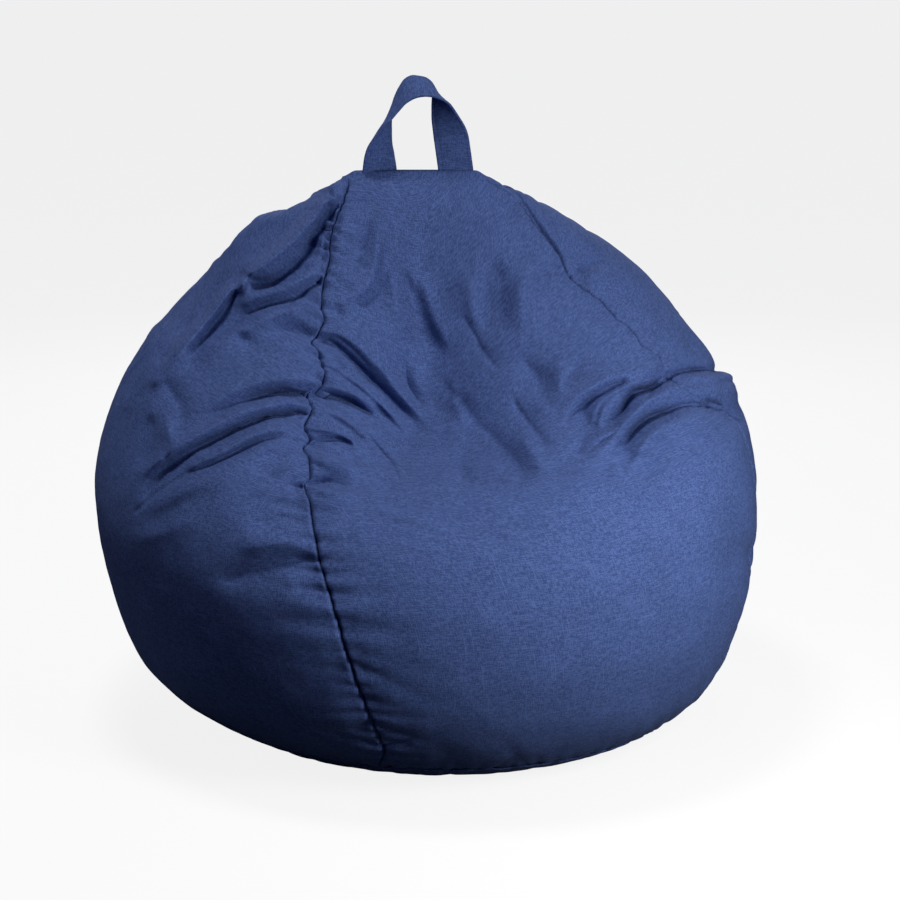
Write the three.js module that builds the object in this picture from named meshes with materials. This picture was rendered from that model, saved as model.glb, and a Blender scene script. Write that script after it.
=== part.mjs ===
// Giant bean bag with a sewn-on carrying handle: one filled bag, a round base panel under it, a strap loop on its ridge.
// Millimetres, +Z up, the front faces -Y, the origin is on the floor under the middle of the bag.
import * as THREE from 'three';

// Heights of the bag's own landmarks above the floor
const RIDGE_HEIGHT = 948;
const LIP_HEIGHT = 492;
const SEAT_HEIGHT = 468;
const BASE_SEAM_HEIGHT = 28;

// Sewing: how far a seam sits below the panels beside it, and the share of a panel that curves down to it
const SEAM_DEPTH = 9;
const SEAM_SHARE = 0.014;
const BASE_SEAM_DEPTH = 6;

// The round base panel is one doubled cloth under the filling, with a free gap to the bag
const BASE_CLOTH = 3;
const GAP = 0.3;

// Carrying strap
const STRAP_WIDTH = 65;
const STRAP_THICKNESS = 5;

// Table of offsets. x, y: centre of the ring; flat: how far the ring is squashed front to back;
// out: distance from the centre towards each compass point; up: height there.
// Compass points run front, front right, right, back right, back, back left, left, front left.
const LEVELS = [
  { at: 'floor middle', x: 0, y: 10, flat: 1, out: [0, 0, 0, 0, 0, 0, 0, 0], up: 0 },
  { at: 'floor', x: 0, y: 10, flat: 1, out: [200, 200, 200, 200, 200, 200, 200, 200], up: 0 },
  { at: 'wide floor', x: 0, y: 10, flat: 1, out: [325, 330, 335, 330, 325, 325, 325, 325], up: 0 },
  { at: 'floor edge', x: 0, y: 10, flat: 1, out: [380, 400, 405, 390, 380, 380, 370, 360], up: 0 },
  {
    at: 'base seam', x: 0, y: 10, flat: 1, up: BASE_SEAM_HEIGHT,
    out: [425, 475, 485, 465, 435, 430, 420, 405],
  },
  { at: 'low belly', x: 0, y: 5, flat: 1, out: [522, 550, 556, 545, 525, 543, 542, 538], up: 110 },
  {
    at: 'belly', x: 0, y: 0, flat: 1,
    out: [585, 590, 592, 586, 585, 570, 572, 570],
    up: [250, 255, 260, 260, 260, 260, 260, 255],
  },
  {
    at: 'shoulder', x: 0, y: 10, flat: 1,
    out: [540, 596, 606, 604, 590, 612, 618, 602],
    up: [418, 428, 430, 430, 430, 430, 430, 428],
  },
  {
    at: 'lip', x: 0, y: 30, flat: 1,
    out: [425, 519, 579, 571, 560, 575, 582, 515],
    up: [LIP_HEIGHT, 552, 580, 580, 580, 580, 580, 552],
  },
  {
    at: 'seat', x: 0, y: 70, flat: 1,
    out: [190, 385, 485, 495, 500, 522, 518, 408],
    up: [SEAT_HEIGHT, 624, 692, 702, 702, 702, 692, 632],
  },
  {
    at: 'foot of the back', x: 0, y: 120, flat: 1,
    out: [75, 305, 405, 425, 400, 419, 399, 299],
    up: [548, 728, 788, 798, 798, 798, 788, 728],
  },
  {
    at: 'back', x: 0, y: 165, flat: 0.85,
    out: [70, 196, 271, 281, 290, 350, 340, 260],
    up: [712, 832, 872, 877, 877, 882, 878, 832],
  },
  {
    at: 'neck', x: -8, y: 190, flat: 0.6,
    out: [90, 126, 166, 166, 180, 155, 145, 115],
    up: [878, 913, 928, 933, 933, 933, 928, 913],
  },
  { at: 'ridge', x: -22, y: 200, flat: 0.12, out: [138, 138, 138, 138, 138, 138, 138, 138], up: RIDGE_HEIGHT },
];
const BASE_LEVEL = 4;
const TOP_LEVEL = LEVELS.length - 1;

// The eye that sees the bag as it is drawn here. Seams and folds are laid out as that eye sees them on the
// upright plane through the bag's middle: across towards +X, and height above the floor.
const EYE = new THREE.Vector3(41, -3687, 1397);

// Front left seam, from the ridge down to the base, with the four places where it is pulled in
const LEFT_SEAM = [
  [-130, 975], [-135, 965], [-145, 940], [-155, 915], [-165, 890], [-170, 860], [-170, 830], [-180, 795],
  [-185, 765], [-185, 740], [-180, 720], [-190, 700], [-205, 680], [-190, 660], [-180, 625], [-185, 600],
  [-210, 585], [-210, 565], [-215, 510], [-220, 485], [-215, 465], [-215, 440], [-220, 420], [-215, 385],
  [-210, 345], [-200, 270], [-180, 195], [-155, 95], [-125, 0], [-95, -80], [-70, -135],
];
// Front right seam, which leaves the picture over the right side
const RIGHT_SEAM = [
  [110, 975], [130, 960], [160, 925], [195, 880], [215, 855], [235, 810], [250, 795], [280, 775], [310, 755],
  [340, 720], [365, 705], [385, 675], [415, 655], [435, 615], [470, 590], [505, 565], [535, 555], [565, 525],
  [590, 480], [640, 430], [640, -140],
];
// Turn of each seam from the front at the base and at the ridge, and the turns between which it is looked for
const SEAMS = [
  { name: 'front left', path: LEFT_SEAM, from: -100, to: -5, base: -10, ridge: -65 },
  { name: 'front right', path: RIGHT_SEAM, from: 5, to: 80, base: 80, ridge: 65 },
  { name: 'back right', path: null, from: 0, to: 0, base: 168, ridge: 115 },
  { name: 'back left', path: null, from: 0, to: 0, base: 258, ridge: 245 },
];
// Panels between one seam and the next, with the columns each is divided into
const PANEL_COLUMNS = { front: 38, right: 22, back: 14, left: 24 };

// Main folds: depth in or out of the panel (minus is a trough), width of the fold, and its course.
// A fold marked rim runs on over the edge of the view and so shows in the outline.
const FOLDS = [
  { name: 'ridge over the left shoulder', depth: 18, width: 38,
    course: [[-140, 940], [-205, 895], [-315, 806], [-400, 728], [-445, 680], [-495, 625]] },
  { name: 'notch behind the left shoulder', depth: -14, width: 22, rim: true,
    course: [[-205, 952], [-225, 935], [-270, 925]] },
  { name: 'valley under the shoulder ridge', depth: -26, width: 34,
    course: [[-165, 900], [-205, 855], [-245, 810], [-275, 785], [-315, 795], [-345, 765], [-400, 660]] },
  { name: 'second left valley', depth: -16, width: 24, course: [[-185, 795], [-230, 770], [-250, 745], [-295, 730]] },
  { name: 'crest below it', depth: 12, width: 26, course: [[-225, 740], [-275, 730], [-320, 710], [-400, 645]] },
  { name: 'upper pinch, left', depth: -14, width: 18, course: [[-205, 680], [-235, 700], [-260, 700]] },
  { name: 'upper pinch, right', depth: -16, width: 22,
    course: [[-205, 680], [-160, 675], [-125, 640], [-90, 605], [-55, 570], [-20, 530], [-5, 495]] },
  { name: 'middle pinch, left', depth: -16, width: 18, course: [[-210, 585], [-245, 585], [-280, 580], [-355, 555]] },
  { name: 'middle pinch, right', depth: -18, width: 20,
    course: [[-210, 585], [-160, 575], [-125, 560], [-90, 540], [-65, 515]] },
  { name: 'long left valley', depth: -18, width: 24,
    course: [[-215, 545], [-245, 550], [-280, 540], [-350, 510], [-420, 475], [-515, 440]] },
  { name: 'low left fold', depth: -10, width: 20,
    course: [[-295, 495], [-335, 475], [-385, 460], [-475, 425], [-530, 360]] },
  { name: 'left fold of the back', depth: -12, width: 24, course: [[-100, 910], [-110, 870], [-120, 830]] },
  { name: 'middle fold of the back', depth: -10, width: 24,
    course: [[-40, 820], [-30, 765], [-15, 710], [5, 665], [20, 630]] },
  { name: 'right fold of the back', depth: -13, width: 26,
    course: [[140, 810], [115, 785], [115, 745], [120, 710], [110, 675]] },
  { name: 'fold into the seat', depth: -12, width: 22,
    course: [[65, 535], [100, 500], [135, 470], [160, 455], [190, 410]] },
  { name: 'upper right pinch', depth: -26, width: 24,
    course: [[435, 615], [405, 590], [385, 580], [355, 570], [350, 545], [300, 495], [275, 460]] },
  { name: 'crest above it', depth: 12, width: 24, course: [[425, 635], [385, 618], [335, 600], [295, 575], [260, 540]] },
  { name: 'fold round the right side', depth: -16, width: 16, rim: true,
    course: [[435, 620], [470, 626], [520, 632], [600, 636]] },
  { name: 'roll over the right side', depth: 15, width: 24, rim: true,
    course: [[455, 598], [500, 600], [550, 602], [620, 600]] },
  { name: 'lower right pinch', depth: -20, width: 22,
    course: [[505, 565], [440, 545], [400, 535], [370, 510], [345, 475], [335, 445]] },
  { name: 'nick in the right side', depth: -14, width: 18, rim: true,
    course: [[560, 295], [585, 295], [605, 285]] },
  { name: 'top right pinch', depth: -12, width: 18, course: [[250, 795], [275, 810], [305, 825]] },
];
// Share of a fold's length over which it fades in at its seam and out at its end
const FOLD_START = 0.1;
const FOLD_END = 0.3;

// Stations up and over the handle. turn: from the strap's rear edge lying inwards (0), through its front edge
// towards the viewer (90), to its rear edge inwards again (180); dip: how far the front edge hangs below the rear
const STRAP_STATIONS = [
  { x: -90, y: 200, z: RIDGE_HEIGHT, turn: 0, dip: 0 },
  { x: -86, y: 200, z: 985, turn: 6, dip: 0 },
  { x: -75, y: 199, z: 1022, turn: 28, dip: 0.1 },
  { x: -62, y: 198, z: 1062, turn: 62, dip: 0.25 },
  { x: -50, y: 198, z: 1098, turn: 84, dip: 0.35 },
  { x: -27, y: 198, z: 1118, turn: 92, dip: 0.4 },
  { x: 9, y: 198, z: 1105, turn: 104, dip: 0.35 },
  { x: 33, y: 198, z: 1070, turn: 130, dip: 0.2 },
  { x: 48, y: 199, z: 1030, turn: 158, dip: 0.05 },
  { x: 53, y: 200, z: 988, turn: 175, dip: 0 },
  { x: 53, y: 200, z: RIDGE_HEIGHT, turn: 180, dip: 0 },
];
const STRAP_STEPS = 3;

const CLOTH = new THREE.Color('#3e5081');
const DEGREE = Math.PI / 180;

const lerp = (a, b, t) => a + (b - a) * t;
const clamp = (v, low, high) => Math.min(high, Math.max(low, v));

function smoothStep(low, high, v) {
  const t = clamp((v - low) / (high - low), 0, 1);
  return t * t * (3 - 2 * t);
}

// Weights of four neighbours for a smooth curve, at a share f between the middle two
function blend(f) {
  return [
    (1 - f) ** 3 / 6,
    (3 * f ** 3 - 6 * f ** 2 + 4) / 6,
    (-3 * f ** 3 + 3 * f ** 2 + 3 * f + 1) / 6,
    f ** 3 / 6,
  ];
}

// One value of the table at a row; rows beyond the ends carry the slope on, so the curve meets the end rows
function tableValue(row, point, column) {
  if (row < 0) return 2 * tableValue(0, point, column) - tableValue(1, point, column);
  if (row > TOP_LEVEL) return 2 * tableValue(TOP_LEVEL, point, column) - tableValue(TOP_LEVEL - 1, point, column);
  const value = LEVELS[row][column];
  return Array.isArray(value) ? value[point] : value;
}

// Point of the smooth bag at a level of the table and a turn from the front towards the right
function surface(level, turn) {
  const row = clamp(Math.floor(level), 0, TOP_LEVEL - 1);
  const down = blend(level - row);
  const share = ((turn / 45) % 8 + 8) % 8;
  const column = Math.floor(share);
  const round = blend(share - column);
  let out = 0;
  let up = 0;
  let x = 0;
  let y = 0;
  let flat = 0;
  for (let i = 0; i < 4; i += 1) {
    const r = row - 1 + i;
    x += down[i] * tableValue(r, 0, 'x');
    y += down[i] * tableValue(r, 0, 'y');
    flat += down[i] * tableValue(r, 0, 'flat');
    for (let j = 0; j < 4; j += 1) {
      const point = (column - 1 + j + 8) % 8;
      const weight = down[i] * round[j];
      out += weight * tableValue(r, point, 'out');
      up += weight * tableValue(r, point, 'up');
    }
  }
  const angle = turn * DEGREE;
  return new THREE.Vector3(x + out * Math.sin(angle), y - out * Math.cos(angle) * flat, up);
}

function outward(level, turn) {
  if (level < 0.5) return new THREE.Vector3(0, 0, -1);
  const along = surface(level, turn + 1).sub(surface(level, turn - 1));
  const lower = Math.max(level - 0.04, 0);
  const upper = Math.min(level + 0.04, TOP_LEVEL);
  const upwards = surface(upper, turn).sub(surface(lower, turn));
  return along.cross(upwards).normalize();
}

// Where a sight line from the eye to a point crosses the upright plane through the middle
function seen(point) {
  const share = EYE.y / (EYE.y - point.y);
  return { across: lerp(EYE.x, point.x, share), height: lerp(EYE.z, point.z, share) };
}

function pathAcross(path, height) {
  for (let i = 1; i < path.length; i += 1) {
    const [overA, highA] = path[i - 1];
    const [overB, highB] = path[i];
    if (height >= highB) return lerp(overA, overB, clamp((highA - height) / (highA - highB), 0, 1));
  }
  return path[path.length - 1][0];
}

// Turn at which a level crosses a seam, found by halving the range between its two limits
function seamTurn(seam, level) {
  if (level <= BASE_LEVEL) return seam.base;
  const rise = (level - BASE_LEVEL) / (TOP_LEVEL - BASE_LEVEL);
  if (!seam.path) return lerp(seam.base, seam.ridge, smoothStep(0, 1, rise));
  let low = seam.from;
  let high = seam.to;
  for (let i = 0; i < 24; i += 1) {
    const middle = (low + high) / 2;
    const at = seen(surface(level, middle));
    if (at.across > pathAcross(seam.path, at.height)) high = middle;
    else low = middle;
  }
  const found = (low + high) / 2;
  const settled = lerp(seam.base, found, smoothStep(BASE_LEVEL, BASE_LEVEL + 0.8, level));
  return lerp(settled, seam.ridge, smoothStep(TOP_LEVEL - 0.7, TOP_LEVEL, level));
}

// Columns round the bag: a share between a panel's two seams, and whether the column is a seam itself
function panelColumns() {
  const columns = [];
  Object.values(PANEL_COLUMNS).forEach((count, panel) => {
    columns.push({ panel, share: 0, seam: true });
    for (let i = 0; i < count; i += 1) {
      const share = lerp(SEAM_SHARE, 1 - SEAM_SHARE, i / (count - 1));
      columns.push({ panel, share, seam: false });
    }
  });
  return columns;
}

const COLUMNS = panelColumns();

function columnTurns(level) {
  const turns = SEAMS.map((seam) => seamTurn(seam, level));
  turns.push(turns[0] + 360);
  return COLUMNS.map((column) => lerp(turns[column.panel], turns[column.panel + 1], column.share));
}

function distanceToCourse(course, at) {
  let best = { distance: Infinity, share: 0 };
  const lengths = course.slice(1).map((b, i) => Math.hypot(b[0] - course[i][0], b[1] - course[i][1]));
  const whole = lengths.reduce((sum, length) => sum + length, 0);
  let before = 0;
  lengths.forEach((length, i) => {
    const [ax, az] = course[i];
    const [bx, bz] = course[i + 1];
    const t = clamp(((at.across - ax) * (bx - ax) + (at.height - az) * (bz - az)) / (length * length), 0, 1);
    const distance = Math.hypot(at.across - lerp(ax, bx, t), at.height - lerp(az, bz, t));
    if (distance < best.distance) best = { distance, share: (before + t * length) / whole };
    before += length;
  });
  return best;
}

// How far the folds move a point of the panel in or out; they lie on the side that the eye sees
function foldHeight(point, normal) {
  const towardsEye = normal.dot(EYE.clone().sub(point).normalize());
  const facing = smoothStep(0.02, 0.3, towardsEye);
  const nearRim = smoothStep(-0.4, -0.15, towardsEye);
  if (nearRim === 0) return 0;
  const at = seen(point);
  let height = 0;
  for (const fold of FOLDS) {
    const { distance, share } = distanceToCourse(fold.course, at);
    const fade = smoothStep(-FOLD_START, FOLD_START, share) * (1 - smoothStep(1 - FOLD_END, 1.1, share));
    height += fold.depth * fade * (fold.rim ? nearRim : facing) * Math.exp(-((distance / fold.width) ** 2));
  }
  return height;
}

// Closed surface from rings of points, fanned shut round a centre point at each end
function closedRings(first, rings, last) {
  const points = [first, ...rings.flat(), last];
  const round = rings[0].length;
  const faces = [];
  const id = (ring, i) => 1 + ring * round + (i % round);
  for (let i = 0; i < round; i += 1) {
    faces.push(0, id(0, i + 1), id(0, i));
    for (let ring = 0; ring < rings.length - 1; ring += 1) {
      faces.push(id(ring, i), id(ring, i + 1), id(ring + 1, i + 1));
      faces.push(id(ring, i), id(ring + 1, i + 1), id(ring + 1, i));
    }
    faces.push(points.length - 1, id(rings.length - 1, i), id(rings.length - 1, i + 1));
  }
  const geometry = new THREE.BufferGeometry();
  geometry.setAttribute('position', new THREE.Float32BufferAttribute(points.flatMap((p) => [p.x, p.y, p.z]), 3));
  geometry.setIndex(faces);
  return geometry;
}

function ringAt(level, offset) {
  return columnTurns(level).map((turn, i) => {
    const point = surface(level, turn);
    return point.addScaledVector(outward(level, turn), offset(point, outward(level, turn), COLUMNS[i]));
  });
}

// The filled bag: inside the base panel below the base seam, out to the panels' own face above it
function bagGeometry() {
  const tuck = BASE_CLOTH + GAP;
  const rings = [];
  for (const level of [1, 2, 2.5, 3, 3.35, 3.7]) rings.push(ringAt(level, () => -tuck));
  rings.push(ringAt(BASE_LEVEL, () => -BASE_SEAM_DEPTH));
  const panelLevels = [BASE_LEVEL + 0.14, BASE_LEVEL + 0.4, BASE_LEVEL + 0.7];
  for (let level = BASE_LEVEL + 1; level < TOP_LEVEL - 0.01; level += 0.2) panelLevels.push(level);
  panelLevels.push(TOP_LEVEL);
  for (const level of panelLevels) {
    const settled = smoothStep(BASE_LEVEL, BASE_LEVEL + 0.5, level);
    const open = 1 - smoothStep(TOP_LEVEL - 0.6, TOP_LEVEL, level);
    rings.push(ringAt(level, (point, normal, column) => {
      const seam = column.seam ? SEAM_DEPTH * settled * lerp(0.25, 1, open) : 0;
      return foldHeight(point, normal) * settled * open - seam;
    }));
  }
  const first = new THREE.Vector3(LEVELS[0].x, LEVELS[0].y, tuck);
  const ridge = LEVELS[TOP_LEVEL];
  const last = new THREE.Vector3(ridge.x, ridge.y, RIDGE_HEIGHT);
  rings[rings.length - 1].forEach((point) => {
    point.z = RIDGE_HEIGHT;
  });
  return closedRings(first, rings, last);
}

// The round base panel: a shallow dish of cloth whose rim comes up to the base seam
function basePanelGeometry() {
  const levels = [1, 2, 2.5, 3, 3.35, 3.7, BASE_LEVEL - 0.04];
  const outside = levels.map((level) => ringAt(level, () => 0));
  const inside = levels.map((level) => ringAt(level, () => -BASE_CLOTH)).reverse();
  const first = new THREE.Vector3(LEVELS[0].x, LEVELS[0].y, 0);
  const last = new THREE.Vector3(LEVELS[0].x, LEVELS[0].y, BASE_CLOTH);
  return closedRings(first, [...outside, ...inside], last);
}

// The strap: a flat band that stands up from the ridge, twists a quarter turn, and comes down again
function handleGeometry() {
  const middle = new THREE.CatmullRomCurve3(STRAP_STATIONS.map((s) => new THREE.Vector3(s.x, s.y, s.z)));
  const last = STRAP_STATIONS.length - 1;
  const rings = [];
  for (let i = 0; i <= last * STRAP_STEPS; i += 1) {
    const share = i / (last * STRAP_STEPS);
    const station = Math.min(Math.floor(share * last), last - 1);
    const between = share * last - station;
    const turn = lerp(STRAP_STATIONS[station].turn, STRAP_STATIONS[station + 1].turn, between) * DEGREE;
    const dip = lerp(STRAP_STATIONS[station].dip, STRAP_STATIONS[station + 1].dip, between);
    const centre = middle.getPoint(share);
    const tangent = middle.getTangent(share);
    if (i === 0) tangent.set(0, 0, 1);
    if (i === last * STRAP_STEPS) tangent.set(0, 0, -1);
    const width = new THREE.Vector3(-Math.cos(turn), -Math.sin(turn), -dip);
    width.addScaledVector(tangent, -width.dot(tangent)).normalize();
    const face = new THREE.Vector3().crossVectors(tangent, width).normalize();
    const lift = i === 0 || i === last * STRAP_STEPS ? GAP : 0;
    const edge = STRAP_WIDTH / 2;
    const round = STRAP_THICKNESS / 2;
    const section = [
      [-edge + round, -round], [edge - round, -round], [edge, 0],
      [edge - round, round], [-edge + round, round], [-edge, 0],
    ];
    rings.push(section.map(([w, t]) => {
      const point = centre.clone().addScaledVector(width, w).addScaledVector(face, t);
      point.z += lift;
      return point;
    }));
  }
  const middleOf = (ring) => ring.reduce((sum, p) => sum.add(p), new THREE.Vector3()).divideScalar(ring.length);
  return closedRings(middleOf(rings[0]), rings, middleOf(rings[rings.length - 1]));
}

function clothMesh(name, geometry) {
  geometry.computeVertexNormals();
  const material = new THREE.MeshStandardMaterial({ color: CLOTH, roughness: 0.9, metalness: 0 });
  material.name = 'cloth';
  const mesh = new THREE.Mesh(geometry, material);
  mesh.name = name;
  return mesh;
}

const beanBag = new THREE.Group();
beanBag.name = 'bean_bag';
beanBag.add(clothMesh('bag', bagGeometry()));
beanBag.add(clothMesh('base_panel', basePanelGeometry()));
beanBag.add(clothMesh('handle', handleGeometry()));

export default beanBag;
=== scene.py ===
"""Giant bean bag: four sewn panels round a bead filling, a round base panel and a carrying strap."""
import math

import bpy
import numpy as np
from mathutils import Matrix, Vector


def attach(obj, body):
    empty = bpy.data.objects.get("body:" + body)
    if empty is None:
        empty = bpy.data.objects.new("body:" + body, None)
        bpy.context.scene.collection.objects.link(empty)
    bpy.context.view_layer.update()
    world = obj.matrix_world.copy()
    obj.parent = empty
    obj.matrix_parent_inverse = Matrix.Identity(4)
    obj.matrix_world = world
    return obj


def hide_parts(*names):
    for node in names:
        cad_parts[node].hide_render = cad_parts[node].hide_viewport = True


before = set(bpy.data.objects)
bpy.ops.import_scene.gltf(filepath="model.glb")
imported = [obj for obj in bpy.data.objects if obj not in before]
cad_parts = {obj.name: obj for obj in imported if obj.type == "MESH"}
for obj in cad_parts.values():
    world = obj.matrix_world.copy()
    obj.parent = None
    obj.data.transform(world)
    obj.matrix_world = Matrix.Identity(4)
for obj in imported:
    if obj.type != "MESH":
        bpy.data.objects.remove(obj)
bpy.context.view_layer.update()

MM = 0.001

# The filled bag. All lengths are in millimetres, and turns run in degrees from the front to the right.
RIDGE_X, RIDGE_Y, RIDGE_HEIGHT = -22, 200, 948
RIDGE_HALF_WIDTH = 138
LIP_HEIGHT = 492
SEAT_HEIGHT = 468
BASE_SEAM_HEIGHT = 28

# Table of offsets: name, centre x and y, squash front to back, and at eight compass points distance out and height.
# They run front, front right, right, back right, back, back left, left, front left.
LEVELS = [
    ("floor middle", 0, 10, 1, [0] * 8, [0] * 8),
    ("floor", 0, 10, 1, [200] * 8, [0] * 8),
    ("wide floor", 0, 10, 1, [325, 330, 335, 330, 325, 325, 325, 325], [0] * 8),
    ("floor edge", 0, 10, 1, [380, 400, 405, 390, 380, 380, 370, 360], [0] * 8),
    ("base seam", 0, 10, 1, [425, 475, 485, 465, 435, 430, 420, 405], [BASE_SEAM_HEIGHT] * 8),
    ("low belly", 0, 5, 1, [522, 550, 556, 545, 525, 543, 542, 538], [110] * 8),
    ("belly", 0, 0, 1, [585, 590, 592, 586, 585, 570, 572, 570],
     [250, 255, 260, 260, 260, 260, 260, 255]),
    ("shoulder", 0, 10, 1, [540, 596, 606, 604, 590, 612, 618, 602],
     [418, 428, 430, 430, 430, 430, 430, 428]),
    ("lip", 0, 30, 1, [425, 519, 579, 571, 560, 575, 582, 515],
     [LIP_HEIGHT, 552, 580, 580, 580, 580, 580, 552]),
    ("seat", 0, 70, 1, [190, 385, 485, 495, 500, 522, 518, 408],
     [SEAT_HEIGHT, 624, 692, 702, 702, 702, 692, 632]),
    ("foot of the back", 0, 120, 1, [75, 305, 405, 425, 400, 419, 399, 299],
     [548, 728, 788, 798, 798, 798, 788, 728]),
    ("back", 0, 165, 0.85, [70, 196, 271, 281, 290, 350, 340, 260],
     [712, 832, 872, 877, 877, 882, 878, 832]),
    ("neck", -8, 190, 0.6, [90, 128, 174, 172, 180, 176, 177, 135],
     [878, 913, 928, 933, 933, 933, 928, 913]),
    ("ridge", RIDGE_X, RIDGE_Y, 0.12, [RIDGE_HALF_WIDTH] * 8, [RIDGE_HEIGHT] * 8),
]
FLOOR_LEVEL = 3
BASE_LEVEL = 4
TOP_LEVEL = len(LEVELS) - 1

# Seams and folds are laid out as an eye sees them on the upright plane through the bag's middle:
# across towards +X, and height above the floor.
FRONT_EYE = np.array([41.0, -3687.0, 1397.0])
BACK_EYE = np.array([0.0, 3700.0, 1300.0])
LEFT_EYE = np.array([-3700.0, 150.0, 1300.0])
RIGHT_EYE = np.array([3700.0, 150.0, 1300.0])

# The two front seams, from the ridge down
LEFT_SEAM = [
    (-130, 975), (-135, 965), (-145, 940), (-155, 915), (-165, 890), (-170, 860), (-170, 830), (-180, 795),
    (-185, 765), (-185, 740), (-180, 720), (-190, 700), (-205, 680), (-190, 660), (-180, 625), (-185, 600),
    (-214, 586), (-203, 560), (-219, 530), (-207, 509), (-223, 486), (-211, 464), (-211, 440), (-223, 420),
    (-213, 385), (-210, 345), (-200, 270), (-180, 195), (-155, 95), (-125, 0), (-95, -80), (-70, -135),
]
RIGHT_SEAM = [
    (110, 988), (136, 966), (160, 937), (190, 893), (220, 856), (238, 833), (246, 811), (257, 793), (280, 775),
    (310, 755), (340, 720), (365, 705), (385, 675), (415, 655), (435, 615), (470, 590), (505, 565), (535, 555),
    (565, 525), (590, 480), (640, 430), (640, -140),
]
# Front left, front right, back right and back left seam: course, the turns between which it is looked for,
# its turn at the base and its turn at the ridge. The two at the back aren't seen and have no course.
SEAMS = [
    (LEFT_SEAM, -100, -5, -10, -65),
    (RIGHT_SEAM, 5, 80, 80, 65),
    (None, 0, 0, 168, 115),
    (None, 0, 0, 258, 245),
]
# Levels over which a seam runs into its course above the base, and out of it below the ridge
SEAM_FROM_BASE = 0.8
SEAM_TO_RIDGE = 0.7
SEAM_HALVINGS = 24
# How deep the thread pulls a seam and over what width the cloth rolls into it. Next to it the cloth of both
# panels comes to one line, and further out it sags a little.
SEAM_DEPTH = 12
SEAM_ROUND = 2.3
SEAM_MEET = 16
SEAM_SAG = 3.5
SEAM_SAG_WIDTH = 24
SEAM_ALLOWANCE = 14
# Share of the depth that is left at the ridge and at the base
SEAM_AT_RIDGE = 0.05
SEAM_AT_BASE = 0.3

# Each panel lies between the seam of its own number and the next one
PANELS = ["front_panel", "right_panel", "back_panel", "left_panel"]
PANEL_WIDTH = {"front_panel": 1100, "right_panel": 850, "back_panel": 850, "left_panel": 700}
# The number of the row that lies on each of these levels, so that rows are closest where most folds are
ROW_LEVELS = (4, 7, 8, 10.2, 13)
PANEL_ROWS = {
    "front_panel": (0, 80, 104, 268, 350),
    "right_panel": (0, 85, 125, 230, 350),
    "back_panel": (0, 90, 120, 190, 280),
    "left_panel": (0, 95, 140, 270, 425),
}
PANEL_COLUMNS = {"front_panel": 274, "right_panel": 230, "back_panel": 180, "left_panel": 226}
# Distances of the closest columns from each seam, and how much the other columns draw towards the seams
SEAM_COLUMNS = [0, 0.8, 1.8, 3, 4.4, 6, 8, 10.5, 13.5, 17]
SIDE_DRAW = {"front_panel": 0.35, "right_panel": 0, "back_panel": 0, "left_panel": 0}
# Rows that roll over the ridge into its seam: share of the way to the ridge's middle line, and lift. Along the
# ridge they draw in only a little of that share, and their lift fades over the last stretch to its two tips.
RIDGE_ROWS = [(0.15, 5), (0.35, 9), (0.6, 11.5), (0.8, 11), (0.92, 7), (0.98, 1)]
RIDGE_ROW_STEP = 4
RIDGE_DRAW = 0.04
RIDGE_END = 26

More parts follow.
